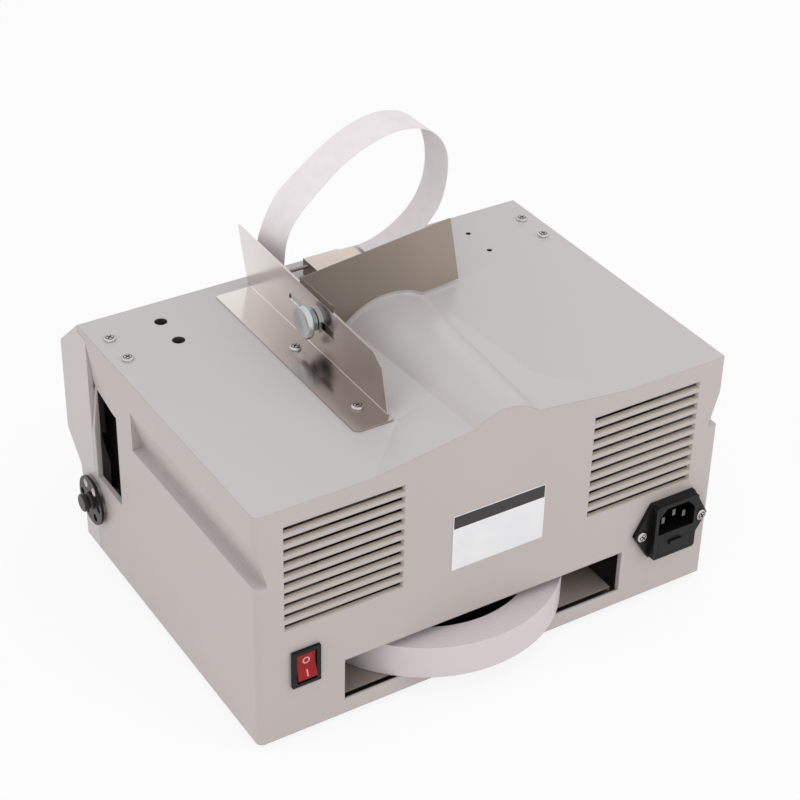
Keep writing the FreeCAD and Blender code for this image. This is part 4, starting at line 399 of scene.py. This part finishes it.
def bright_screw():
    """Bright nickel on small pan heads."""
    shader = Shader("bright_screw", roughness=0.18, metallic=1.0)
    shader.mottle((214, 211, 208), (192, 189, 186), 300)
    shader.rough(shader.noise(900), 0.12, 0.22)
    shader.bump(shader.noise(2500, 2), 6 * MICRON, 0.15 * MM)
    return shader.material


def recess_shade():
    """The dark inside of a cross recess."""
    shader = Shader("recess_shade", roughness=0.5, metallic=0.6)
    shader.mottle((96, 92, 90), (84, 80, 78), 900)
    shader.bump(shader.noise(2500, 2), 6 * MICRON)
    return shader.material


def white_paper():
    """Smooth white strapping paper with a faint fibre cloud."""
    shader = Shader("white_paper", roughness=0.55, Specular_IOR_Level=0.3)
    shader.mottle((229, 223, 225), (224, 217, 219), 120)
    shader.rough(shader.noise(700), 0.48, 0.62)
    shader.bump(shader.noise(2200, 4), 10 * MICRON)
    return shader.material


def wound_paper():
    """The roll: paper edges show as fine rings on its top and one smooth turn on its side."""
    shader = Shader("wound_paper", roughness=0.6, Specular_IOR_Level=0.25)
    low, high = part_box("paper_roll")
    centre = (low + high) / 2
    east = shader.math("SUBTRACT", shader.along(X), centre.x)
    north = shader.math("SUBTRACT", shader.along(Y), centre.y)
    radius = shader.length(east, north)
    waves = [
        shader.math("MULTIPLY", shader.math("SINE", shader.math("MULTIPLY", radius, pace)), share)
        for pace, share in PAPER_RINGS
    ]
    rings = shader.math("MULTIPLY", shader.math("ADD", *waves), shader.facing(Z, 0.5, 0.9))
    shade = shader.ranged(rings, 0, 1, -0.8, 0.8)
    shader.colour(shader.blend(shade, (198, 189, 191), (216, 207, 210)))
    shader.bump(rings, 50 * MICRON, 0.2 * MM)
    return shader.material


def black_plastic():
    """Deep black moulded plastic with a soft sheen on its edges."""
    shader = Shader("black_plastic", roughness=0.45, Specular_IOR_Level=0.25)
    shader.mottle((14, 13, 13), (9, 9, 9), 90)
    shader.rough(shader.noise(600), 0.38, 0.52)
    shader.bump(shader.noise(2000, 2), 12 * MICRON, 0.2 * MM)
    return shader.material


def rocker_red():
    """Glossy red moulding of the mains switch."""
    shader = Shader("rocker_red", roughness=0.42, Specular_IOR_Level=0.2)
    shader.mottle((150, 31, 34), (136, 25, 28), 180)
    shader.rough(shader.noise(500), 0.38, 0.46)
    shader.bump(shader.noise(1500, 2), 8 * MICRON, 0.3 * MM)
    return shader.material


def pale_ink():
    """Pale print on the rocker."""
    shader = Shader("pale_ink", roughness=0.5)
    shader.mottle((222, 150, 146), (212, 138, 134), 900)
    shader.bump(shader.noise(3000, 2), 5 * MICRON)
    return shader.material


def rating_film():
    """The bare label: a dark band over a white field, inside a thin pale edge."""
    shader = Shader("rating_film", roughness=0.4, Specular_IOR_Level=0.4)
    low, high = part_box("rating_label")
    over = shader.math("GREATER_THAN", shader.along(Z), high.z - LABEL_BAND)
    inside = shader.math("LESS_THAN", shader.along(Z), high.z - LABEL_EDGE)
    for limit, place in (("GREATER_THAN", low.x + LABEL_EDGE), ("LESS_THAN", high.x - LABEL_EDGE)):
        inside = shader.math("MULTIPLY", inside, shader.math(limit, shader.along(X), place))
    field = shader.drift((228, 227, 228), (221, 220, 222), 60)
    shader.colour(shader.blend(shader.math("MULTIPLY", over, inside), field, (44, 41, 42)))
    shader.bump(shader.noise(1200, 2), 6 * MICRON)
    return shader.material


def head_plastic():
    """Pale beige moulding over the sealing head, with painted shade on its end face."""
    shader = Shader("head_plastic", roughness=0.5, Specular_IOR_Level=0.4)
    face = shader.drift((235, 223, 213), (229, 216, 206), 60)
    # Painted shade: faces turned towards +X are dark brown.
    shader.colour(shader.blend(shader.facing(X, 0.6, 0.9), face, (122, 103, 94)))
    shader.rough(shader.noise(500), 0.42, 0.56)
    shader.bump(shader.noise(1500, 3), 20 * MICRON, 0.3 * MM)
    return shader.material


def wheel_black():
    """Blackened disc with painted bright highlights in and round its upper holes."""
    shader = Shader("wheel_black", roughness=0.35, Specular_IOR_Level=0.3)
    low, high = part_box("hand_wheel_disc")
    centre = (low + high) / 2
    across = shader.math("SUBTRACT", shader.along(Y), centre.y)
    above = shader.math("SUBTRACT", shader.along(Z), centre.z)
    radius = shader.length(across, above)
    sector = 2 * math.pi / WHEEL_HOLES
    angle = shader.math("ARCTAN2", above, across)
    nearest = shader.math("MULTIPLY", shader.math("ROUND", shader.math("DIVIDE", angle, sector)), sector)
    off_axis = shader.math("SUBTRACT", angle, nearest)
    outwards = shader.math("MULTIPLY", radius, shader.math("COSINE", off_axis))
    outwards = shader.math("SUBTRACT", outwards, WHEEL_HOLE_CIRCLE)
    sideways = shader.math("MULTIPLY", radius, shader.math("SINE", off_axis))
    off_hole = shader.length(outwards, sideways)
    in_bore = shader.math("LESS_THAN", off_hole, WHEEL_HOLE_RADIUS + HIGHLIGHT_RIM)
    # Painted highlight: the bores and rims of the upper holes are near white.
    hole_highlight = shader.math("MULTIPLY", in_bore, shader.math("GREATER_THAN", above, HIGHLIGHTS_ABOVE))
    black = shader.drift((30, 24, 22), (22, 18, 17), 200)
    shader.colour(shader.blend(hole_highlight, black, (240, 234, 232)))
    shader.rough(shader.noise(500), 0.3, 0.42)
    shader.bump(shader.noise(1400, 2), 6 * MICRON, 0.15 * MM)
    return shader.material


def dull_steel(name, first, second, roughness):
    """Plain plated or blackened sheet inside the housing."""
    shader = Shader(name, roughness=roughness, metallic=0.8)
    shader.mottle(first, second, 70)
    shader.rough(shader.noise(350), roughness - 0.08, roughness + 0.1)
    shader.bump(shader.noise(1200, 3), 10 * MICRON, 0.2 * MM)
    return shader.material


def plain_moulding(name, first, second, roughness=0.5):
    """A small moulded piece of one colour."""
    shader = Shader(name, roughness=roughness, Specular_IOR_Level=0.4)
    shader.mottle(first, second, 90)
    shader.rough(shader.noise(450), roughness - 0.07, roughness + 0.07)
    shader.bump(shader.noise(1600, 3), 15 * MICRON, 0.25 * MM)
    return shader.material


def smoked_lens():
    """Smoked window over the display."""
    shader = Shader("smoked_lens", roughness=0.08, Coat_Weight=0.6, Coat_Roughness=0.05)
    shader.mottle((30, 32, 36), (24, 26, 30), 50)
    shader.rough(shader.noise(200), 0.05, 0.12)
    shader.bump(shader.noise(300, 1), 4 * MICRON, 0.2 * MM)
    return shader.material


def glass_fuse():
    """Glass tube of the fuse, with its metal caps at the two ends."""
    shader = Shader("glass_fuse", roughness=0.12)
    low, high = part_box("fuse")
    left = shader.math("LESS_THAN", shader.along(X), low.x + FUSE_CAP)
    right = shader.math("GREATER_THAN", shader.along(X), high.x - FUSE_CAP)
    caps = shader.math("ADD", left, right, clamp=True)
    shader.colour(shader.blend(caps, (214, 220, 222), (190, 184, 172)))
    shader.bump(shader.noise(900, 2), 5 * MICRON)
    return shader.material


def circuit_board():
    """Green board with faint tracks."""
    shader = Shader("circuit_board", roughness=0.35, Specular_IOR_Level=0.5)
    tracks = shader.noise(220, 1, (1, 0.2, 1))
    shader.colour(shader.blend(shader.ranged(tracks, 0, 1, 0.48, 0.52), (24, 92, 52), (36, 116, 66)))
    shader.bump(tracks, 30 * MICRON, 0.2 * MM)
    return shader.material


def pins_shaded_sides():
    """Nickelled pins with painted shade on their sides, so that only their ends show light in the dark
    of the socket.
    """
    shader = Shader("pins_shaded_sides", roughness=0.3, metallic=0.6)
    # Painted shade: faces that don't look along +Y are near black.
    shader.colour(shader.blend(shader.facing(Y, 0.6, 0.9), (26, 24, 22), (104, 102, 99)))
    shader.bump(shader.noise(1500, 2), 6 * MICRON, 0.15 * MM)
    return shader.material


def lamination_stack():
    """Varnished sheets of the transformer's core."""
    shader = Shader("lamination_stack", roughness=0.5, metallic=0.4)
    stripes = shader.math("SINE", shader.math("MULTIPLY", shader.along(Y), SHEET_WAVES))
    shader.colour(shader.blend(shader.ranged(stripes, 0, 1, -0.9, 0.9), (70, 62, 54), (104, 92, 78)))
    shader.bump(stripes, 40 * MICRON, 0.2 * MM)
    return shader.material


def soft_rubber():
    """Matt black rubber of the feet and rollers."""
    shader = Shader("soft_rubber", roughness=0.8, Specular_IOR_Level=0.25)
    shader.mottle((46, 44, 43), (38, 36, 36), 120)
    shader.bump(shader.noise(900, 4), 40 * MICRON, 0.3 * MM)
    return shader.material


def dress_nodes():
    """Each CAD node takes its material. Returns the zinc, which an added piece takes too."""
    zinc_blue = zinc()
    finishes = (
        (housing_plastic("housing_plastic", (182, 172, 169), (178, 169, 165), True), ["top_shell"]),
        (housing_plastic("bezel_plastic", (192, 184, 182), (188, 180, 178), False), ["front_bezel"]),
        (plain_moulding("key_plastic", (86, 90, 96), (78, 82, 88), 0.4),
         ["panel_key_1", "panel_key_2", "panel_key_3", "panel_key_4"]),
        (smoked_lens(), ["display_window"]),
        (circuit_board(), ["key_board", "control_board"]),
        (dull_steel("plated_sheet", (150, 146, 142), (134, 130, 126), 0.45),
         ["base_plate", "side_plate_right", "head_plate", "feed_frame", "tape_chute", "tie_rods"]),
        # The left side plate is near black: painted shade standing in for the dark seen through the side
        # window.
        (plain_moulding("window_shade_sheet", (40, 32, 30), (34, 27, 26), 0.6), ["side_plate_left"]),
        (soft_rubber(), ["rubber_feet", "feed_roller", "pinch_roller"]),
        (rating_film(), ["rating_label"]),
        (black_plastic(), ["switch_frame", "inlet_body", "fuse_drawer"]),
        (rocker_red(), ["switch_rocker"]),
        (dull_steel("nickelled_brass", (204, 192, 164), (190, 178, 150), 0.3), ["motor_pinion"]),
        (pins_shaded_sides(), ["inlet_pins"]),
        (dull_steel("sintered_bronze", (104, 84, 62), (88, 70, 52), 0.5), ["shaft_bushes"]),
        (glass_fuse(), ["fuse"]),
        (stainless(), ["guide_bracket"]),
        (brushed_stop(), ["stop_plate"]),
        (zinc_blue, ["thumb_washer", "clamp_nut"]),
        (plain_moulding("tongue_steel", (206, 205, 203), (198, 197, 195), 0.35), ["head_tongue"]),
        (dull_steel("rod_steel", (158, 147, 140), (146, 136, 129), 0.35), ["guide_rod"]),
        (head_plastic(), ["head_cover"]),
        (white_paper(), ["paper_band"]),
        (wound_paper(), ["paper_roll"]),
        (plain_moulding("tray_plastic", (148, 138, 130), (137, 128, 121)), ["tape_tray"]),
        (plain_moulding("hub_plastic", (26, 24, 24), (20, 19, 19)), ["roll_hub"]),
        (wheel_black(), ["hand_wheel_disc"]),
        (plain_moulding("knob_black", (46, 42, 39), (34, 31, 29), 0.36), ["hand_wheel_knob"]),
        (dull_steel("shaft_steel", (176, 176, 178), (160, 160, 162), 0.3),
         ["main_shaft", "motor_shaft", "feed_shaft", "press_slide", "cutter_blade", "press_spring",
          "press_cam", "pinch_lever"]),
        (plain_moulding("natural_nylon", (222, 216, 198), (214, 207, 190)),
         ["drive_gear", "press_guide"]),
        (dull_steel("motor_can", (140, 140, 144), (126, 126, 130), 0.4),
         ["drive_motor", "feed_motor", "heater_plate"]),
        (lamination_stack(), ["transformer"]),
    )
    for material, names in finishes:
        for name in names:
            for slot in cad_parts[name].material_slots:
                slot.material = material
    return zinc_blue


# --------------------------------------------------------------------- pieces

def as_mesh(working, name):
    """The working mesh as one that an object can carry."""
    mesh = bpy.data.meshes.new(name)
    working.to_mesh(mesh)
    working.free()
    return mesh


def carried_by(node):
    """A working copy of a CAD node's mesh."""
    working = bmesh.new()
    working.from_mesh(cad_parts[node].data)
    return working


def turned_to(outward):
    """The turn that brings +Z to a direction."""
    return Vector(outward).to_track_quat("Z", "Y").to_matrix().to_4x4()


def new_piece(name, working, materials, body, crease=CREASE):
    """The mesh as an object that rides on a body and takes the given materials."""
    bmesh.ops.recalc_face_normals(working, faces=working.faces)
    for face in working.faces:
        face.smooth = True
    for edge in working.edges:
        edge.smooth = len(edge.link_faces) != 2 or edge.calc_face_angle() < math.radians(crease)
    mesh = as_mesh(working, name)
    piece = bpy.data.objects.new(name, mesh)
    bpy.context.scene.collection.objects.link(piece)
    for material in materials:
        mesh.materials.append(material)
    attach(piece, body)
    return piece


def lathe(working, profile, steps, notch=0.0, notched=()):
    """Turns (radius, height) pairs about Z; the notched ones go in and out by turns, as a knurl does."""
    rings = []
    for number, (radius, height) in enumerate(profile):
        if radius == 0:
            rings.append([working.verts.new((0, 0, height))])
            continue
        ring = []
        for step in range(steps):
            angle = 2 * math.pi * step / steps
            reach = radius - (notch if number in notched and step % 2 else 0)
            ring.append(working.verts.new((reach * math.cos(angle), reach * math.sin(angle), height)))
        rings.append(ring)
    for lower, upper in zip(rings, rings[1:]):
        for step in range(steps):
            following = (step + 1) % steps
            corners = [
                lower[step % len(lower)], lower[following % len(lower)],
                upper[following % len(upper)], upper[step % len(upper)],
            ]
            different = list(dict.fromkeys(corners))
            working.faces.new(different)


def loose_parts(working):
    """Lists of vertices, one for each part that holds together, in the order of the mesh."""
    left = dict.fromkeys(working.verts)
    parts = []
    while left:
        reached = [next(iter(left))]
        del left[reached[0]]
        for vertex in reached:
            for edge in vertex.link_edges:
                other = edge.other_vert(vertex)
                if other in left:
                    del left[other]
                    reached.append(other)
        parts.append(reached)
    return parts


def without(mesh, tool):
    """The mesh less the tool's volume."""
    pair = [bpy.data.objects.new("blank", mesh), bpy.data.objects.new("cutter", tool)]
    for item in pair:
        bpy.context.scene.collection.objects.link(item)
    step = pair[0].modifiers.new("cut", "BOOLEAN")
    step.operation = "DIFFERENCE"
    step.solver = "EXACT"
    step.use_self = True
    step.object = pair[1]
    bpy.context.view_layer.update()
    graph = bpy.context.evaluated_depsgraph_get()
    result = bpy.data.meshes.new_from_object(pair[0].evaluated_get(graph))
    for item in pair:
        bpy.data.objects.remove(item)
    return result


def cross_prism(radius, depth):
    """The point of a cross driver: four tapered arms that stand on the bottom of the recess."""
    working = bmesh.new()
    for turn in (0, math.pi / 2):
        corners = []
        for level, spread in zip((-depth, depth), CROSS_TAPER):
            width_spread = 1 - CROSS_WIDTH_TAPER + CROSS_WIDTH_TAPER * spread
            for east, north in ((-1, -1), (1, -1), (1, 1), (-1, 1)):
                x = east * radius * CROSS_HALF_LENGTH * spread
                y = north * radius * CROSS_HALF_WIDTH * width_spread
                corners.append(working.verts.new((
                    x * math.cos(turn) - y * math.sin(turn),
                    x * math.sin(turn) + y * math.cos(turn),
                    level,
                )))
        for face in ((3, 2, 1, 0), (4, 5, 6, 7), (0, 1, 5, 4), (1, 2, 6, 5), (2, 3, 7, 6), (3, 0, 4, 7)):
            working.faces.new([corners[corner] for corner in face])
    return as_mesh(working, "cross")


def pan_head(radius):
    """A domed head with a cross recess, its seat at height 0."""
    height = SCREW_HEAD_HEIGHT
    working = bmesh.new()
    outline = [(across * radius, up * height) for across, up in SCREW_HEAD_OUTLINE]
    lathe(working, outline, SCREW_HEAD_STEPS)
    tool = cross_prism(radius, CROSS_DEPTH * height)
    tool.transform(Matrix.Translation((0, 0, height)))
    head = without(as_mesh(working, "pan_head"), tool)
    lowest, highest = RECESS_LEVELS
    for face in head.polygons:
        sunk = lowest * height < face.center.z < highest * height
        face.material_index = int(sunk and face.center.xy.length < RECESS_REACH * radius)
    return head


def screw_shank(length):
    """The part of a screw under its head's seat, at height 0."""
    foot = SCREW_HEAD_HEIGHT - length
    working = bmesh.new()
    outline = [(0, foot), (SCREW_SHANK_RADIUS, foot), (SCREW_SHANK_RADIUS, 0), (0, 0)]
    lathe(working, outline, SCREW_SHANK_STEPS)
    return as_mesh(working, "shank")


def screws_in_place(node, outward, materials):
    """Real heads with cross recesses where the node's plain ones stand."""
    carried = carried_by(node)
    bmesh.ops.remove_doubles(carried, verts=carried.verts, dist=WELD_DISTANCE)
    outward = Vector(outward)
    working = bmesh.new()
    for number, part in enumerate(loose_parts(carried)):
        places = [vertex.co for vertex in part]
        low = Vector([min(place[axis] for place in places) for axis in (X, Y, Z)])
        high = Vector([max(place[axis] for place in places) for axis in (X, Y, Z)])
        size = high - low
        length = abs(size.dot(outward))
        radius = max(across for axis, across in enumerate(size) if not outward[axis]) / 2
        seat = (low + high) / 2 + outward * (length / 2 - SCREW_HEAD_HEIGHT)
        recess_turn = Matrix.Rotation(FIRST_TURN + NEXT_TURN * number, 4, "Z")
        place = Matrix.Translation(seat) @ turned_to(outward) @ recess_turn
        for mesh in (pan_head(radius), screw_shank(length)):
            mesh.transform(place)
            working.from_mesh(mesh)
    carried.free()
    piece = new_piece(f"{node}_heads", working, materials, "housing")
    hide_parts(node)


def thumb_screw(material):
    """Turned head with a fine knurl and chamfers, over a collar with grooves."""
    low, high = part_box("thumb_screw")
    middle = (low + high) / 2
    length = high.x - low.x
    head = length - THUMB_HEAD
    neck = length - THUMB_HEAD - THUMB_COLLAR
    groove_radius = THUMB_COLLAR_RADIUS - THUMB_GROOVE
    profile = [(0, 0), (THUMB_SHANK_RADIUS, 0), (THUMB_SHANK_RADIUS, neck), (groove_radius, neck)]
    ridge_length = THUMB_COLLAR / THUMB_RIDGES
    for ridge in range(THUMB_RIDGES):
        foot = neck + THUMB_COLLAR * ridge / THUMB_RIDGES
        for share, sunk in THUMB_RIDGE:
            profile.append((THUMB_COLLAR_RADIUS - sunk * THUMB_GROOVE, foot + share * ridge_length))
    knurl_from = len(profile) + 1
    for inwards, up in THUMB_EDGE_BELOW:
        profile.append((THUMB_RADIUS - inwards * THUMB_CHAMFER, head + up * THUMB_CHAMFER))
    for inwards, down in THUMB_EDGE_ABOVE:
        profile.append((THUMB_RADIUS - inwards * THUMB_CHAMFER, length - down * THUMB_CHAMFER))
    profile.append((0, profile[-1][1]))
    working = bmesh.new()
    lathe(working, profile, 2 * THUMB_KNURLS, THUMB_KNURL_DEPTH, (knurl_from, knurl_from + 1))
    working.transform(Matrix.Translation((low.x, middle.y, middle.z)) @ turned_to((1, 0, 0)))
    piece = new_piece("thumb_screw_turned", working, [material], "thumb", TURNED_CREASE)
    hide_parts("thumb_screw")


def crisp_bracket():
    """The guide bracket with a tighter inner bend, which shows as a thin bright line."""
    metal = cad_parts["guide_bracket"].material_slots[0].material
    working = carried_by("guide_bracket")
    reach = BEND_RADIUS + BEND_MARGIN
    corner_x, corner_z = BEND_CORNER
    for vertex in working.verts:
        across = vertex.co.x - corner_x
        above = vertex.co.z - corner_z
        if -BEND_MARGIN < across < reach and -BEND_MARGIN < above < reach:
            vertex.co.x = corner_x + BEND_SHARE * across
            vertex.co.z = corner_z + BEND_SHARE * above
    piece = new_piece("guide_bracket_sheet", working, [metal], "housing")
    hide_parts("guide_bracket")


def compressed_spring():
    """The press's return spring, as a copy of its CAD mesh that rides on the housing."""
    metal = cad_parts["press_spring"].material_slots[0].material
    working = carried_by("press_spring")
    piece = new_piece("press_spring_coil", working, [metal], "housing")
    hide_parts("press_spring")
    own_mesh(piece)


def rocker_marks():
    """The generic O and I of a switch, raised a little from the curved face of its rocker."""
    bare = carried_by("switch_rocker")
    face = BVHTree.FromBMesh(bare)
    bare.free()
    low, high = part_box("switch_rocker")
    middle_x = (low.x + high.x) / 2
    working = bmesh.new()

    def laid(east, level):
        """A pair of points, just over the face and just under it."""
        start = Vector((middle_x + east, high.y + MARK_RAY_START, level))
        spot = face.ray_cast(start, Vector((0, -1, 0)))[0]
        return [working.verts.new(spot + Vector((0, lift, 0))) for lift in (MARK_LIFT, -MARK_LIFT)]

    def strip(first, second, closed):
        """A raised ribbon between two rows of point pairs."""
        count = len(first)
        for step in range(count if closed else count - 1):
            following = (step + 1) % count
            a, b, c, d = first[step], first[following], second[following], second[step]
            working.faces.new((a[0], b[0], c[0], d[0]))
            working.faces.new((a[0], b[0], b[1], a[1]))
            working.faces.new((d[0], c[0], c[1], d[1]))

    angles = [2 * math.pi * step / OFF_MARK_STEPS for step in range(OFF_MARK_STEPS)]
    rings = []
    for radius in (OFF_MARK_RADIUS, OFF_MARK_RADIUS - MARK_STROKE):
        rings.append([
            laid(radius * math.cos(angle), OFF_MARK_Z + radius * math.sin(angle)) for angle in angles
        ])
    strip(*rings, True)
    levels = [
        ON_MARK_Z + ON_MARK_LENGTH * (step / ON_MARK_STEPS - 0.5) for step in range(ON_MARK_STEPS + 1)
    ]
    sides = [[laid(side * MARK_STROKE / 2, level) for level in levels] for side in (-1, 1)]
    strip(*sides, False)
    new_piece("rocker_marks", working, [pale_ink()], "rocker")


def make_pieces(zinc_blue):
    """All pieces that the scene adds or puts in a CAD node's place."""
    screw_steel = [bright_screw(), recess_shade()]
    screws_in_place("deck_screws", (0, 0, 1), screw_steel)
    screws_in_place("bracket_screws", (0, 0, 1), screw_steel)
    screws_in_place("inlet_screws", (0, 1, 0), screw_steel)
    screws_in_place("base_screws", (0, 0, -1), screw_steel)
    thumb_screw(zinc_blue)
    crisp_bracket()
    compressed_spring()
    rocker_marks()


# ---------------------------------------------------------------------- stage

def white_rays(tree):
    """1 for rays from the camera and for those off gloss or through glass, 0 for the rest."""
    path = tree.nodes.new("ShaderNodeLightPath")

    def either(first, second):
        """1 where one of the two is."""
        node = tree.nodes.new("ShaderNodeMath")
        node.operation = "ADD"
        node.use_clamp = True
        tree.links.new(first, node.inputs[0])
        tree.links.new(second, node.inputs[1])
        return node.outputs[0]

    mirrored = either(path.outputs["Is Glossy Ray"], path.outputs["Is Transmission Ray"])
    return either(path.outputs["Is Camera Ray"], mirrored)


def make_floor():
    """A pale floor that shows nearly white and keeps the soft shadow under the machine."""
    working = bmesh.new()
    bmesh.ops.create_grid(working, x_segments=1, y_segments=1, size=FLOOR_REACH)
    mesh = as_mesh(working, "floor")
    floor = bpy.data.objects.new("floor", mesh)
    bpy.context.scene.collection.objects.link(floor)
    material = bpy.data.materials.new("floor_white")
    material.use_nodes = True
    tree = material.node_tree
    principled = tree.nodes["Principled BSDF"]
    principled.inputs["Base Color"].default_value = (FLOOR_TONE, FLOOR_TONE, FLOOR_TONE, 1)
    principled.inputs["Roughness"].default_value = FLOOR_ROUGHNESS
    principled.inputs["Specular IOR Level"].default_value = 0.0
    glow = tree.nodes.new("ShaderNodeEmission")
    glow.inputs["Strength"].default_value = 1.0
    share = tree.nodes.new("ShaderNodeMath")
    share.operation = "MULTIPLY"
    share.inputs[1].default_value = FLOOR_WHITE_SHARE
    mix = tree.nodes.new("ShaderNodeMixShader")
    tree.links.new(white_rays(tree), share.inputs[0])
    tree.links.new(share.outputs[0], mix.inputs["Fac"])
    tree.links.new(principled.outputs[0], mix.inputs[1])
    tree.links.new(glow.outputs[0], mix.inputs[2])
    tree.links.new(mix.outputs[0], tree.nodes["Material Output"].inputs["Surface"])
    mesh.materials.append(material)


def make_world():
    """Plain soft light all round; white where the camera, gloss or glass looks past the object."""
    world = bpy.data.worlds.new("studio")
    bpy.context.scene.world = world
    world.use_nodes = True
    tree = world.node_tree
    strength = tree.nodes.new("ShaderNodeMapRange")
    strength.inputs["To Min"].default_value = WORLD_LIGHT
    strength.inputs["To Max"].default_value = 1.0
    tree.links.new(white_rays(tree), strength.inputs["Value"])
    background = tree.nodes["Background"]
    background.inputs["Color"].default_value = (1, 1, 1, 1)
    tree.links.new(strength.outputs[0], background.inputs["Strength"])


def make_lights():
    """Large soft lamps that polished faces don't mirror."""
    for name, (place, size, power) in LAMPS.items():
        lamp = bpy.data.lights.new(name, "AREA")
        lamp.shape = "RECTANGLE"
        lamp.size, lamp.size_y = size
        lamp.energy = power
        holder = bpy.data.objects.new(name, lamp)
        holder.location = place
        holder.rotation_euler = (Vector(LAMP_TARGET) - Vector(place)).to_track_quat("-Z", "Y").to_euler()
        holder.visible_glossy = False
        bpy.context.scene.collection.objects.link(holder)


def make_camera():
    """The camera at its place, looking along its azimuth and elevation, with a little roll."""
    azimuth = math.radians(CAMERA_AZIMUTH)
    elevation = math.radians(CAMERA_ELEVATION)
    roll = math.radians(CAMERA_ROLL)
    away = Vector((
        math.sin(azimuth) * math.cos(elevation),
        math.cos(azimuth) * math.cos(elevation),
        math.sin(elevation),
    ))
    level = (-away).cross(Vector((0, 0, 1))).normalized()
    upright = level.cross(-away)
    right = math.cos(roll) * level + math.sin(roll) * upright
    up = math.cos(roll) * upright - math.sin(roll) * level
    data = bpy.data.cameras.new("camera")
    data.lens = CAMERA_LENS
    data.sensor_width = SENSOR_WIDTH
    camera = bpy.data.objects.new("camera", data)
    turn = Matrix((right, up, away)).transposed().to_4x4()
    camera.matrix_world = Matrix.Translation(CAMERA_PLACE) @ turn
    bpy.context.scene.collection.objects.link(camera)
    bpy.context.scene.camera = camera


bpy.context.scene.view_settings.view_transform = "Standard"
make_camera()
make_world()
make_lights()
make_floor()
make_pieces(dress_nodes())
